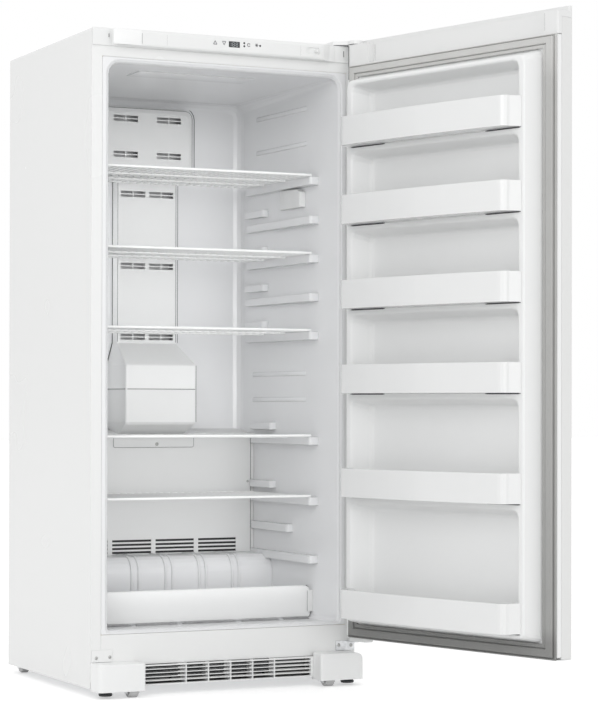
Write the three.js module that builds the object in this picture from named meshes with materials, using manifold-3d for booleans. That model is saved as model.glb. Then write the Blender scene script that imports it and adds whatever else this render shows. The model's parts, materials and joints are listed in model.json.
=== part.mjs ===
// Upright frost-free freezer with its door standing open, in millimetres, +Z up.
// The cabinet is drawn with x = 0 at its left side, y = 0 at the front flange and z = 0 on the floor.
// The door is drawn shut, in the same coordinates, and then turned about its hinge.
import * as THREE from 'three';
import { mergeVertices } from 'three/addons/utils/BufferGeometryUtils.js';
import Module from 'manifold-3d';

const wasm = await Module();
wasm.setup();

// ---------- driving sizes ----------
const cabinetWidth = 760;
const cabinetDepth = 644;
const cabinetTop = 1715;
const sidePanelBottom = 21;
const sheet = 1;
const skinBendRadius = 6;
const fit = 0.3; // clearance between parts that touch
const frontFlangeWidth = 29;
const topFlangeHeight = 72;

const plastic = 2; // wall of the thermoformed liners
const rearWall = 54;
const openingSideWall = 49;
const openingTopWall = 86;
const openingTop = cabinetTop - openingTopWall;
const openingBottom = 169;
const openingCornerRadius = 30;
const openingBottomRadius = 6;
const insideCornerRadius = 12;
const rearCornerRadius = 23;
const mouthRadius = 9;
const compartmentDepth = cabinetDepth - rearWall;
const wallDraft = 23; // how far each side wall leans in from front to back
const ceilingDraft = 12;
const floorDip = 6;
const linerFlangeBottom = 158;

// The upper shelf levels hang from the ceiling, the lower ones stand on the floor.
const ledgeDrops = { upper: 256, second: 363, third: 469, fourth: 575, fifth: 680 };
const ledgeTops = {
  upper: openingTop - ledgeDrops.upper,
  second: openingTop - ledgeDrops.second,
  third: openingTop - ledgeDrops.third,
  fourth: openingTop - ledgeDrops.fourth,
  fifth: openingTop - ledgeDrops.fifth,
  sixth: 661,
};
const lowerLedgeTops = { seventh: 496, lowest: 337 };
const halfLedgeTop = 416;
const ledgeHeight = 22;
const ledgeInset = 80; // from the cabinet's side to the ledges' inner edge
const ledgeFront = 115;
const guideGap = 18;
const guideHeight = 20;
const guideReach = 19;
const guideFront = 413;
const lowGuideFront = 363;
const ledgeBack = compartmentDepth - 58;
const halfLedgeFront = 262;

const humpTop = 327;
const humpFace = compartmentDepth - 205;
const humpRadius = 44;
const humpRibPitch = 101;
const humpRibSpacing = 21;
const humpRibWidth = 6;
const humpRibHeight = 3;
const humpRibPairs = 5;

const ductFace = compartmentDepth - 38;
const ductWidth = 181;
const upperPanelWidth = 288;
const upperPanelTop = openingTop - 35;
const upperPanelEdge = 16;
const upperPanelBottom = upperPanelTop - 202;
const upperVentDrops = [43, 145]; // below the upper panel's top
const ductVentDrops = [55, 259]; // below the upper panel
const ventSlotHeight = 7;
const coverFace = compartmentDepth - 90;
const coverTop = 662;
const coverTabWidth = 244;
const returnVentWidth = 118;
const returnVentPitch = 131;
const returnVentBottom = 330;
const returnSlotHeight = 6;
const returnSlotPitch = 10.8;
const fanHousingFace = compartmentDepth - 146;
const fanShoulder = 60;
const fanHousingWidth = 215;
const fanHousingTop = 862;
const fanHousingBottom = 696;
const fanHousingSeam = 792;
const panelWall = 2.5;

const shelfWidth = cabinetWidth - 148;
const shelfFront = 118;
const shelfRear = compartmentDepth - 60;
const shortShelfRear = compartmentDepth - 106;
const shelfWire = 3.4;
const shelfWireCount = 29;
const shelfRailRadius = 3.5;

const gateHeight = 87;
const gateFace = 147;
const gateThickness = 13;
const gateLift = 4;
const gateCornerRadius = 18;
const gateEndGap = 5.3;
const clipOverlap = 11;
const clipHeight = 58;

const fasciaBottom = cabinetTop - 45;
const fasciaProud = 24;
const fasciaCapProud = 4;
const fasciaLeft = 57;
const fasciaRight = cabinetWidth - 70;
const displayLeft = 374;
const displayWidth = 31;
const displayBottom = fasciaBottom + 16;
const displayHeight = 15;
const scoopLeft = cabinetWidth - 168;
const scoopWidth = 49;
const plungerRadius = 4;

const legCoverWidth = 130;
const legCoverTop = 88;
const legCoverBottom = 17;
const legCoverProud = 60;
const legCoverRadius = 14;
const legCoverShoulder = 26;
const legCoverWall = 2.5;
const crossPanelBottom = 78;
const grilleSlats = 4;
const grilleBar = 4;
const grilleSetback = 14;
const grilleBottom = 24;
const grilleDepth = 10;
const grilleDividerBack = 24;

const footX = 33.5;
const footY = -22;
const footRadius = 18;
const footLift = 5; // the freezer rolls until its feet are screwed down
const footStem = 5;
const frontRollerX = 100;
const frontRollerY = -38;
const frontRollerRadius = 17.6;
const frontRollerWidth = 26;
const rearRollerX = 32;
const rearRollerY = cabinetDepth - 44;
const rearRollerRadius = 20;
const rearRollerWidth = 22;
const axleRadius = 3;

const doorOpenAngle = 105.2; // degrees, as it stands
const doorThickness = 55;
const doorGap = 12; // from the front flange to the door's inner face
const doorBottom = 125;
const doorTop = cabinetTop;
const doorSkinTop = doorTop - 15;
const doorLip = 14;
const doorLipDepth = 15;
const doorSkinReturn = 14; // bare edge of the plastic behind the folded steel
const doorBandBottom = doorTop - 58;
const doorBandRecess = 22;
const hingeBlockWidth = 80;
const freeBlockWidth = 48;
const pivotInset = 13.6;
const pivotSetback = 17.8; // from the door's inner face to the pivot
const pinRadius = 5;
const gasketWidth = 44;
const gasketTopWidth = 34;
const gasketThickness = 11.4;

const damInset = 47;
const damTopInset = 34;
const damHeight = 58;
const damRim = 19.5;
const damLean = 12;
const rimRound = 4;
const pocketFloor = 6; // depth of the pocket floors above the door's inner face
const pocketSideDraft = 30;
const pocketTopDraft = 16.2;
const pocketRadius = 16;
const pocketEndRound = 9;
const binBottoms = [
  openingTop - 198, openingTop - 405, openingTop - 627.5, openingTop - 850, 507, 189.5,
];
const binHeight = 75;
const binFront = 95;
const binBow = 10;
const binInset = 80;
const binWall = 2.5;
const binEndFlare = 13;
const binCornerRadius = 20;
const webThickness = 16;

const compressorRadius = 72;
const compressorHeight = 150;
const condenserFanRadius = 68;
const evaporatorFanRadius = 62;

const centre = cabinetWidth / 2;
const innerFace = -doorGap;
const outerFace = innerFace - doorThickness;
const pivotX = cabinetWidth - pivotInset;
const pivotY = innerFace - pivotSetback;
const floorLevel = openingBottom - floorDip;
const mirror = (x) => cabinetWidth - x;

// ---------- solids ----------
function solidOf(geometry) {
  const bare = new THREE.BufferGeometry();
  bare.setAttribute('position', geometry.getAttribute('position').clone());
  if (geometry.index) bare.setIndex(geometry.index.clone());
  const merged = mergeVertices(bare, 1e-4);
  return new wasm.Manifold(new wasm.Mesh({
    numProp: 3,
    vertProperties: Float32Array.from(merged.getAttribute('position').array),
    triVerts: Uint32Array.from(merged.index.array),
  }));
}

function geometryOf(solid) {
  const mesh = solid.getMesh();
  const geometry = new THREE.BufferGeometry();
  const points = new Float32Array(mesh.numVert * 3);
  for (let i = 0; i < mesh.numVert; i++) {
    for (let k = 0; k < 3; k++) points[3 * i + k] = mesh.vertProperties[i * mesh.numProp + k];
  }
  geometry.setAttribute('position', new THREE.BufferAttribute(points, 3));
  geometry.setIndex(new THREE.BufferAttribute(Uint32Array.from(mesh.triVerts), 1));
  const flat = geometry.toNonIndexed();
  flat.computeVertexNormals();
  return flat;
}

const join = (...solids) => solids.flat().reduce((a, b) => a.add(b));
const cut = (solid, ...tools) => tools.flat().reduce((a, b) => a.subtract(b), solid);

function box(x0, x1, y0, y1, z0, z1) {
  const geometry = new THREE.BoxGeometry(x1 - x0, y1 - y0, z1 - z0);
  geometry.translate((x0 + x1) / 2, (y0 + y1) / 2, (z0 + z1) / 2);
  return solidOf(geometry);
}

// A prism: the outline lies in the two axes that follow `axis` in the order x, y, z, x, y.
function prism(axis, outline, from, to, holes = []) {
  const shape = new THREE.Shape(outline.map(([a, b]) => new THREE.Vector2(a, b)));
  for (const hole of holes) {
    shape.holes.push(new THREE.Path(hole.map(([a, b]) => new THREE.Vector2(a, b))));
  }
  const geometry = new THREE.ExtrudeGeometry(shape, { depth: to - from, bevelEnabled: false });
  geometry.translate(0, 0, from);
  const turn = new THREE.Matrix4();
  if (axis === 'x') turn.set(0, 0, 1, 0, 1, 0, 0, 0, 0, 1, 0, 0, 0, 0, 0, 1);
  if (axis === 'y') turn.set(0, 1, 0, 0, 0, 0, 1, 0, 1, 0, 0, 0, 0, 0, 0, 1);
  geometry.applyMatrix4(turn);
  return solidOf(geometry);
}

function arc(cx, cy, radius, fromDegrees, toDegrees, steps) {
  const points = [];
  for (let i = 0; i <= steps; i++) {
    const angle = THREE.MathUtils.degToRad(fromDegrees + ((toDegrees - fromDegrees) * i) / steps);
    points.push([cx + radius * Math.cos(angle), cy + radius * Math.sin(angle)]);
  }
  return points;
}

// A rectangle with round corners, counter-clockwise; radii in the order
// low-low, high-low, high-high, low-high, where 0 leaves a corner square.
function roundRect(a0, a1, b0, b1, radii, steps = 4) {
  const [r0, r1, r2, r3] = Array.isArray(radii) ? radii : [radii, radii, radii, radii];
  const corner = (a, b, r, start) => (r > 0 ? arc(a, b, r, start, start + 90, steps) : [[a, b]]);
  return [
    ...corner(a0 + r0, b0 + r0, r0, 180),
    ...corner(a1 - r1, b0 + r1, r1, 270),
    ...corner(a1 - r2, b1 - r2, r2, 0),
    ...corner(a0 + r3, b1 - r3, r3, 90),
  ];
}

// A skin over rings of points, each ring with as many points, capped at both ends.
function loft(rings) {
  const count = rings[0].length;
  const points = rings.flat();
  const faces = [];
  for (let k = 0; k + 1 < rings.length; k++) {
    for (let i = 0; i < count; i++) {
      const j = (i + 1) % count;
      const a = k * count + i;
      const b = k * count + j;
      faces.push(a, b, b + count, a, b + count, a + count);
    }
  }
  const last = (rings.length - 1) * count;
  for (let i = 1; i + 1 < count; i++) {
    faces.push(0, i + 1, i);
    faces.push(last, last + i, last + i + 1);
  }
  const geometry = new THREE.BufferGeometry();
  geometry.setAttribute('position', new THREE.Float32BufferAttribute(points.flat(), 3));
  geometry.setIndex(faces);
  const solid = solidOf(geometry);
  if (solid.volume() > 0) return solid;
  for (let i = 0; i < faces.length; i += 3) [faces[i], faces[i + 1]] = [faces[i + 1], faces[i]];
  geometry.setIndex(faces);
  return solidOf(geometry);
}

// A box seen from the front with round corners, lofted through stations of y.
// Each station: [y, left, right, bottom, top, radius].
function frontLoft(stations, steps = 5) {
  return loft(stations.map(([y, x0, x1, z0, z1, r]) => (
    roundRect(x0, x1, z0, z1, r, steps).map(([x, z]) => [x, y, z])
  )));
}

// A picture frame whose section is given by [share, y]: share runs from the outer edge, 0,
// to the inner edge, 1, of a frame with its own width on each side.
function frameSweep(outer, inner, section) {
  const count = section.length;
  const points = [];
  for (const [share, y] of section) {
    const side = outer.map((value, i) => value + (inner[i] - value) * share);
    const [x0, x1, z0, z1] = side;
    points.push([x0, y, z0], [x1, y, z0], [x1, y, z1], [x0, y, z1]);
  }
  const faces = [];
  for (let k = 0; k < count; k++) {
    const next = (k + 1) % count;
    for (let i = 0; i < 4; i++) {
      const j = (i + 1) % 4;
      faces.push(k * 4 + i, k * 4 + j, next * 4 + j, k * 4 + i, next * 4 + j, next * 4 + i);
    }
  }
  const geometry = new THREE.BufferGeometry();
  geometry.setAttribute('position', new THREE.Float32BufferAttribute(points.flat(), 3));
  geometry.setIndex(faces);
  const solid = solidOf(geometry);
  if (solid.volume() > 0) return solid;
  for (let i = 0; i < faces.length; i += 3) [faces[i], faces[i + 1]] = [faces[i + 1], faces[i]];
  geometry.setIndex(faces);
  return solidOf(geometry);
}

function rod(axis, centrePoint, radius, from, to, sides = 12) {
  const geometry = new THREE.CylinderGeometry(radius, radius, to - from, sides);
  if (axis === 'x') geometry.rotateZ(-Math.PI / 2);
  if (axis === 'z') geometry.rotateX(Math.PI / 2);
  const middle = (from + to) / 2;
  const [a, b] = centrePoint;
  if (axis === 'x') geometry.translate(middle, a, b);
  if (axis === 'y') geometry.translate(a, middle, b);
  if (axis === 'z') geometry.translate(a, b, middle);
  return solidOf(geometry);
}

// A turned piece: the profile is [radius, height along the axis], starting and ending on the axis.
function turned(axis, centrePoint, profile, sides = 20) {
  const geometry = new THREE.LatheGeometry(profile.map(([r, h]) => new THREE.Vector2(r, h)), sides);
  if (axis === 'x') geometry.rotateZ(-Math.PI / 2);
  if (axis === 'z') geometry.rotateX(Math.PI / 2);
  const [a, b] = centrePoint;
  if (axis === 'x') geometry.translate(0, a, b);
  if (axis === 'y') geometry.translate(a, 0, b);
  if (axis === 'z') geometry.translate(a, b, 0);
  const solid = solidOf(geometry);
  return solid;
}

// A chain of points as a path: a section carried along it has one ring at each point.
class Chain extends THREE.Curve {
  constructor(stops) {
    super();
    this.stops = stops;
  }

  getUtoTmapping(share) {
    return share;
  }

  getPoint(share) {
    return this.stops[Math.round(share * (this.stops.length - 1))].clone();
  }

  getTangent(share) {
    const i = Math.round(share * (this.stops.length - 1));
    const back = this.stops[Math.max(i - 1, 0)];
    const ahead = this.stops[Math.min(i + 1, this.stops.length - 1)];
    return ahead.clone().sub(back).normalize();
  }
}

// A tube along a path of straight runs whose corners are rounded.
function tube(points, radius, bend, sides = 6, bendSteps = 3) {
  const nodes = points.map(([x, y, z]) => new THREE.Vector3(x, y, z));
  const stops = [nodes[0]];
  for (let i = 1; i + 1 < nodes.length; i++) {
    const before = nodes[i - 1].clone().sub(nodes[i]);
    const after = nodes[i + 1].clone().sub(nodes[i]);
    const reach = Math.min(bend, before.length() / 2.01, after.length() / 2.01);
    const start = nodes[i].clone().addScaledVector(before.normalize(), reach);
    const end = nodes[i].clone().addScaledVector(after.normalize(), reach);
    const curve = new THREE.QuadraticBezierCurve3(start, nodes[i], end);
    for (let k = 0; k <= bendSteps; k++) stops.push(curve.getPoint(k / bendSteps));
  }
  stops.push(nodes[nodes.length - 1]);
  const section = arc(0, 0, radius, 0, 360 - 360 / sides, sides - 1);
  return solidOf(new THREE.ExtrudeGeometry(
    new THREE.Shape(section.map(([a, b]) => new THREE.Vector2(a, b))),
    { steps: stops.length - 1, bevelEnabled: false, extrudePath: new Chain(stops) },
  ));
}

// ---------- the object ----------
const freezer = new THREE.Group();
const doorGroup = new THREE.Group();
const doorPivot = new THREE.Group();
freezer.add(doorPivot);
doorPivot.position.set(pivotX, pivotY, 0);
doorPivot.rotation.z = THREE.MathUtils.degToRad(doorOpenAngle);
doorPivot.add(doorGroup);
doorGroup.position.set(-pivotX, -pivotY, 0);

const looks = {
  enamel: { color: 0xe9eae8, roughness: 0.35, metalness: 0 },
  liner: { color: 0xeef0ef, roughness: 0.4, metalness: 0 },
  trim: { color: 0xf1f2f0, roughness: 0.45, metalness: 0 },
  foam: { color: 0xd9cfae, roughness: 0.9, metalness: 0 },
  gasket: { color: 0xa9aaa7, roughness: 0.6, metalness: 0 },
  wire: { color: 0xf3f4f2, roughness: 0.35, metalness: 0 },
  steel: { color: 0xb9bcbc, roughness: 0.4, metalness: 0.8 },
  dark: { color: 0x24272a, roughness: 0.6, metalness: 0 },
  copper: { color: 0xb8794e, roughness: 0.4, metalness: 0.9 },
  aluminium: { color: 0xc7cacc, roughness: 0.45, metalness: 0.9 },
  board: { color: 0x2f6b46, roughness: 0.6, metalness: 0 },
};

function piece(name, look, solid, parent = freezer) {
  const mesh = new THREE.Mesh(geometryOf(solid), new THREE.MeshStandardMaterial(looks[look]));
  mesh.name = name;
  parent.add(mesh);
}

// ---------- cabinet ----------
// The folded steel shell: top and sides in one sheet, with the front flanges turned in.
const backSetback = 4; // the rear panel's swages stand within this
const shellBack = cabinetDepth - backSetback;
const rimTop = cabinetTop - topFlangeHeight;
function shellOutline(inset, bottom) {
  const r = skinBendRadius - inset;
  return roundRect(bottom, cabinetTop - inset, inset, cabinetWidth - inset, [0, r, r, 0], 3);
}
const shell = cut(
  prism('y', shellOutline(0, sidePanelBottom), 0, shellBack),
  prism('y', shellOutline(sheet, sidePanelBottom - 1), sheet, shellBack + 1),
  box(frontFlangeWidth, cabinetWidth - frontFlangeWidth, -1, sheet + 1, 0, rimTop),
);
piece('cabinet_shell', 'enamel', shell);

// The cold space tapers to the back, so its stations are worked out from the walls.
// A positive offset moves every wall out by a constant thickness.
function coldSpace(offset, frontY) {
  const wall = (y) => openingSideWall + (wallDraft * y) / compartmentDepth - offset;
  const ceiling = (y) => openingTop - (ceilingDraft * y) / compartmentDepth + offset;
  const station = (y, grow, floor, lowRadius, highRadius) => {
    const low = lowRadius + offset + grow;
    const high = highRadius + offset + grow;
    return [
      y, wall(y) - grow, mirror(wall(y)) + grow, floor - offset - grow, ceiling(y) + grow,
      [low, low, high, high],
    ];
  };
  const mouth = (y, grow) => station(y, grow, openingBottom, openingBottomRadius, openingCornerRadius);
  const inside = (y, grow, radius) => station(y, grow, floorLevel, radius, radius);
  const list = frontY < 0 ? [mouth(frontY, mouthRadius)] : [];
  list.push(mouth(0, mouthRadius));
  list.push(mouth(mouthRadius * 0.3, mouthRadius * 0.3));
  list.push(mouth(mouthRadius, 0));
  list.push(inside(mouthRadius * 4, 0, insideCornerRadius));
  const rear = rearCornerRadius + offset;
  for (const angle of [0, 30, 60, 90]) {
    const turn = THREE.MathUtils.degToRad(angle);
    const y = compartmentDepth - rearCornerRadius + rear * Math.sin(turn);
    list.push(inside(y, -rear * (1 - Math.cos(turn)), insideCornerRadius + rear));
  }
  return list;
}

// The step over the machine compartment, with its pairs of ribs down the front.
function humpProfile(offset) {
  const back = compartmentDepth + 60;
  const face = humpFace - offset;
  const top = humpTop + offset;
  const r = humpRadius + offset;
  return [
    [back, floorLevel - 60], [back, top],
    ...arc(face + r, top - r, r, 90, 180, 5),
    [face, floorLevel - 60],
  ];
}
function humpSolid(offset) {
  const parts = [prism('x', humpProfile(offset), openingSideWall - 30, mirror(openingSideWall - 30))];
  if (offset < 0) return parts;
  for (let i = 0; i < humpRibPairs; i++) {
    const middle = centre + (i - (humpRibPairs - 1) / 2) * humpRibPitch;
    for (const side of [-1, 1]) {
      const x = middle + (side * humpRibSpacing) / 2;
      const rib = prism('x', humpProfile(humpRibHeight), x - humpRibWidth / 2, x + humpRibWidth / 2);
      const underCover = box(x - humpRibWidth, x + humpRibWidth, coverFace - 3, compartmentDepth + 70,
        humpTop, humpTop + humpRibHeight + 5);
      parts.push(cut(rib, underCover));
    }
  }
  return parts;
}

// Shelf ledges, their upper guides and the half ledge, moulded on both side walls.
const allLedges = [...Object.values(ledgeTops), ...Object.values(lowerLedgeTops)];
const guidedLedges = allLedges.slice(1, -1);
function wallBars(grow) {
  const bars = [];
  const wallAt = (y) => mirror(openingSideWall) - (wallDraft * y) / compartmentDepth;
  const bar = (inner, y0, z0, z1) => {
    const back = (z1 < coverTop + 40 ? coverFace - 3 : ledgeBack) + grow;
    const outside = mirror(openingSideWall) + 8;
    const corner = grow < 0 ? 0 : 5;
    const outline = roundRect(inner - grow, outside, y0 - grow, back, [corner, 0, 0, 0], 2);
    bars.push(prism('z', outline, z0 - grow, z1 + grow));
    bars.push(prism('z', outline.map(([x, y]) => [mirror(x), y]).reverse(), z0 - grow, z1 + grow));
  };
  for (const top of allLedges) bar(mirror(ledgeInset), ledgeFront, top - ledgeHeight, top);
  for (const top of guidedLedges) {
    const bottom = top + guideGap;
    const front = top > coverTop ? guideFront : lowGuideFront;
    bar(wallAt(front) - guideReach, front, bottom, bottom + guideHeight);
  }
  bar(mirror(ledgeInset) + 2, halfLedgeFront, halfLedgeTop - ledgeHeight, halfLedgeTop);
  return bars;
}

// Offset 0 is the side the food sees; a positive offset gives the side the foam sees.
function linedSpace(offset, frontY) {
  return cut(frontLoft(coldSpace(offset, frontY), 4), humpSolid(-offset), wallBars(-offset));
}
const flange = prism('y', roundRect(linerFlangeBottom + fit, rimTop - fit,
  frontFlangeWidth + fit, mirror(frontFlangeWidth + fit), 3, 2), 0, plastic);
piece('inner_liner', 'liner', cut(join(flange, linedSpace(plastic, 0)), linedSpace(0, -5)));

// Foam between shell and liner, cut away over the machine compartment.
const machineTop = 275;
const machineFront = cabinetDepth - 207;
const foamFloor = 108;
const foam = cut(
  prism('y', shellOutline(sheet + fit, foamFloor), plastic + fit, shellBack - sheet - fit),
  cut(frontLoft(coldSpace(plastic + fit, -5), 4), humpSolid(-plastic - fit)),
  box(-5, cabinetWidth + 5, machineFront, cabinetDepth + 5, foamFloor - 5, machineTop),
);
piece('cabinet_foam', 'foam', foam);

// The rear panel is pressed with three wide swages.
const rearOutline = roundRect(machineTop + fit, cabinetTop - sheet - fit,
  sheet + fit, cabinetWidth - sheet - fit, [0, 5, 5, 0], 2);
const swages = [];
const swageInners = [];
const swageCount = 3;
const swageSpan = (cabinetTop - machineTop - 60) / swageCount;
for (let i = 0; i < swageCount; i++) {
  const z0 = machineTop + 50 + i * swageSpan;
  const z1 = z0 + swageSpan - 60;
  const side = 70;
  const lean = backSetback - sheet;
  swages.push(frontLoft([
    [shellBack, side, cabinetWidth - side, z0, z1, 20],
    [cabinetDepth, side + lean, cabinetWidth - side - lean, z0 + lean, z1 - lean, 18],
  ], 2));
  swageInners.push(frontLoft([
    [shellBack - 1 - fit, side + 1, cabinetWidth - side - 1, z0 + 1, z1 - 1, 19],
    [cabinetDepth - sheet, side + lean + 1, cabinetWidth - side - lean - 1, z0 + lean + 1,
      z1 - lean - 1, 17],
  ], 2));
}
piece('rear_panel', 'enamel', cut(
  join(prism('y', rearOutline, shellBack - sheet, shellBack + 0.2), swages), swageInners));

// ---------- base, feet and rollers ----------
const deck = sidePanelBottom + 4;
const deckSheet = 2;
const baseBack = shellBack - sheet - fit;
const insideLeft = sheet + fit;
const insideRight = cabinetWidth - sheet - fit;
const legBracketFront = -48;
const footX2 = mirror(footX);
const rollerX2 = mirror(frontRollerX);
const rearRollerX2 = mirror(rearRollerX);
function earPair(x, y, z, width, gapToRoller) {
  const ears = [];
  for (const side of [-1, 1]) {
    const inner = x + side * (width / 2 + gapToRoller);
    const outer = inner + side * 2;
    ears.push(box(Math.min(inner, outer), Math.max(inner, outer), y - 9, y + 9, z - 7, deck + 1));
  }
  const half = width / 2 + gapToRoller + 1;
  ears.push(rod('x', [y, z], axleRadius, x - half, x + half, 8));
  return ears;
}
const rollerZ = frontRollerRadius;
const rearRollerZ = rearRollerRadius;
let base = join(
  box(insideLeft, insideRight, sheet + fit, baseBack, deck, deck + deckSheet),
  box(insideLeft, insideLeft + deckSheet, sheet + fit, baseBack, deck, foamFloor - fit),
  box(insideRight - deckSheet, insideRight, sheet + fit, baseBack, deck, foamFloor - fit),
);
for (const side of [false, true]) {
  const at = (x) => (side ? mirror(x) : x);
  const span = (a, b) => [Math.min(at(a), at(b)), Math.max(at(a), at(b))];
  const bracketEnd = legCoverWidth - 10;
  base = join(
    base,
    box(...span(frontFlangeWidth + 2, bracketEnd), -2, sheet + fit + 1, deck, deck + 12),
    box(...span(8, bracketEnd), legBracketFront, -1, deck, deck + deckSheet),
  );
  const frontHalf = frontRollerWidth / 2 + 2;
  const rearHalf = rearRollerWidth / 2 + 2;
  const [fx0, fx1] = span(frontRollerX - frontHalf, frontRollerX + frontHalf);
  base = cut(base, box(fx0, fx1, frontRollerY - 21, frontRollerY + 21, deck - 5, deck + 4));
  base = join(base, earPair(at(frontRollerX), frontRollerY, rollerZ, frontRollerWidth, 3));
  const [rx0, rx1] = span(rearRollerX - rearHalf, rearRollerX + rearHalf);
  base = cut(base, box(rx0, rx1, rearRollerY - 23, rearRollerY + 23, deck - 5, deck + 4));
  base = join(base, earPair(at(rearRollerX), rearRollerY, rearRollerZ, rearRollerWidth, 3));
  base = cut(base, rod('z', [at(footX), footY], footStem + fit, deck - 2, deck + 20, 12));
}
piece('base_frame', 'steel', base);

for (const [name, x] of [['foot_left', footX], ['foot_right', footX2]]) {
  piece(name, 'dark', turned('z', [x, footY], [
    [0, footLift], [footRadius - 1, footLift], [footRadius, footLift + 2],
    [footRadius, footLift + 6], [footRadius - 3, footLift + 8], [footStem + 2.5, footLift + 10],
    [footStem + 2.5, deck - fit], [footStem, deck - fit],
    [footStem, deck + 28], [0, deck + 28],
  ], 12));
}
function roller(name, x, y, radius, width) {
  const half = width / 2;
  const bore = axleRadius + fit;
  const z = radius === frontRollerRadius ? rollerZ : rearRollerZ;
  const wheel = turned('x', [y, z], [
    [0, x - half], [radius - 2, x - half], [radius, x - half + 2], [radius, x + half - 2],
    [radius - 2, x + half], [0, x + half],
  ], 16);
  piece(name, 'trim', cut(wheel, rod('x', [y, z], bore, x - half - 5, x + half + 5, 8)));
}
roller('roller_front_left', frontRollerX, frontRollerY, frontRollerRadius, frontRollerWidth);
roller('roller_front_right', rollerX2, frontRollerY, frontRollerRadius, frontRollerWidth);
roller('roller_rear_left', rearRollerX, rearRollerY, rearRollerRadius, rearRollerWidth);
roller('roller_rear_right', rearRollerX2, rearRollerY, rearRollerRadius, rearRollerWidth);

// ---------- lower front ----------
const crossPanel = join(
  box(frontFlangeWidth + fit, cabinetWidth - frontFlangeWidth - fit, 0, sheet + 0.2,
    crossPanelBottom, linerFlangeBottom - fit),
  box(frontFlangeWidth + fit, cabinetWidth - frontFlangeWidth - fit, 0, 14,
    crossPanelBottom, crossPanelBottom + 1.5),
);
piece('front_cross_panel', 'enamel', crossPanel);

// Hollow moulded leg covers with a round outer corner and a rounded top edge.
function legCover(left) {
  const x0 = 0.6;
  const x1 = legCoverWidth;
  const front = -legCoverProud;
  const outline = (inset) => {
    const points = roundRect(x0 + inset, x1 - inset, front + inset, -fit,
      [legCoverRadius - inset, 6 - Math.min(inset, 4), 0, 0], 4);
    return left ? points : points.map(([x, y]) => [mirror(x), y]).reverse();
  };
  const stretch = (inset, z0, z1, edge) => loft([
    outline(inset).map(([x, y]) => [x, y, z0]),
    outline(inset).map(([x, y]) => [x, y, z1 - edge]),
    outline(inset + edge * 0.3).map(([x, y]) => [x, y, z1 - edge * 0.3]),
    outline(inset + edge).map(([x, y]) => [x, y, z1]),
  ]);
  // Seen from the front, the hinge side's cover has one large round top corner.
  const face = (inset) => prism('y', roundRect(legCoverBottom - 5, legCoverTop - inset,
    left ? x0 - 1 : mirror(x1) - 1, left ? x1 + 1 : mirror(x0) - inset,
    [0, 0, left ? 0 : legCoverShoulder - inset, 0], 5), front - 1, 1);
  const outer = stretch(0, legCoverBottom, legCoverTop, 3).intersect(face(0));
  const inner = stretch(legCoverWall, legCoverBottom - 1, legCoverTop - legCoverWall, 1.5)
    .intersect(face(legCoverWall));
  const back = box(-5, cabinetWidth + 5, -legCoverWall - fit, 5, legCoverBottom - 1, deck + 14);
  const sideStep = left ? box(x1 - 9, x1 + 1, -12, 1, 60, legCoverTop + 1)
    : box(mirror(x1) - 1, mirror(x1) + 9, -12, 1, 60, legCoverTop + 1);
  return cut(outer, inner, back, sideStep);
}
piece('leg_cover_left', 'trim', legCover(true));
piece('leg_cover_right', 'trim', legCover(false));

// The kick grille: wide end columns, four narrow ones, slanted slats between them.
const grilleX0 = legCoverWidth + 0.4;
const grilleX1 = mirror(legCoverWidth) - 0.4;
const grilleTop = crossPanelBottom - fit;
const grilleFront = -grilleSetback;
const grilleBack = grilleFront + grilleDepth;
const narrowColumn = 63.5;
const grilleFrame = cut(
  box(grilleX0, grilleX1, grilleFront, grilleBack, grilleBottom, grilleTop),
  box(grilleX0 + grilleBar * 2, grilleX1 - grilleBar * 2, grilleFront - 1, grilleBack + 1,
    grilleBottom + grilleBar, grilleTop - grilleBar),
);
const grilleParts = [grilleFrame];
for (let i = 0; i < 5; i++) {
  const x = centre + 8.5 + (i - 2) * narrowColumn;
  grilleParts.push(box(x - 1.6, x + 1.6, grilleFront + 1, grilleBack - 1,
    grilleBottom + 1, grilleTop - 1));
  grilleParts.push(box(x - 1.6, x + 1.6, grilleBack - 2, grilleDividerBack,
    deck + deckSheet + 1.5, grilleTop - 2));
}
const slatPitch = (grilleTop - grilleBottom - grilleBar) / (grilleSlats + 1);
for (let i = 1; i <= grilleSlats; i++) {
  const z = grilleBottom + grilleBar / 2 + i * slatPitch;
  const slat = [[grilleFront + 1.5, z - 1.3], [grilleBack - 2, z + 1.2], [grilleBack - 2, z + 3.2],
    [grilleFront + 1.5, z + 0.9]];
  grilleParts.push(prism('x', slat, grilleX0 + 1, grilleX1 - 1));
}
piece('kick_grille', 'trim', join(grilleParts));

// ---------- control fascia ----------
const capEnd = 0.8;
const fasciaPlan = [
  [capEnd, -fit], [capEnd, -fasciaCapProud], [fasciaLeft - 3, -fasciaCapProud],
  [fasciaLeft + 3, -6], [fasciaLeft + 46, -fasciaProud + 4.2], [fasciaLeft + 56, -fasciaProud + 1.2],
  [fasciaLeft + 70, -fasciaProud],
  [scoopLeft + scoopWidth + 1, -fasciaProud], [scoopLeft + scoopWidth + 12, -fasciaProud + 2],
  [fasciaRight - 14, -10.5], [fasciaRight, -8.5], [fasciaRight + 2, -fasciaCapProud],
  [cabinetWidth - capEnd, -fasciaCapProud], [cabinetWidth - capEnd, -fit],
];
const fasciaTop = cabinetTop - 0.5;
const fasciaSection = [
  [-fit, fasciaBottom], [-fasciaProud + 6, fasciaBottom], [-fasciaProud + 2, fasciaBottom + 2],
  [-fasciaProud, fasciaBottom + 6], [-fasciaProud, fasciaTop - 9], [-fasciaProud + 2.5, fasciaTop - 3],
  [-fasciaProud + 8, fasciaTop], [-fit, fasciaTop],
];
const plungerX = scoopLeft + scoopWidth - 11;
const plungerZ = fasciaBottom + 22;
const scoopDepth = 3.5;
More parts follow.
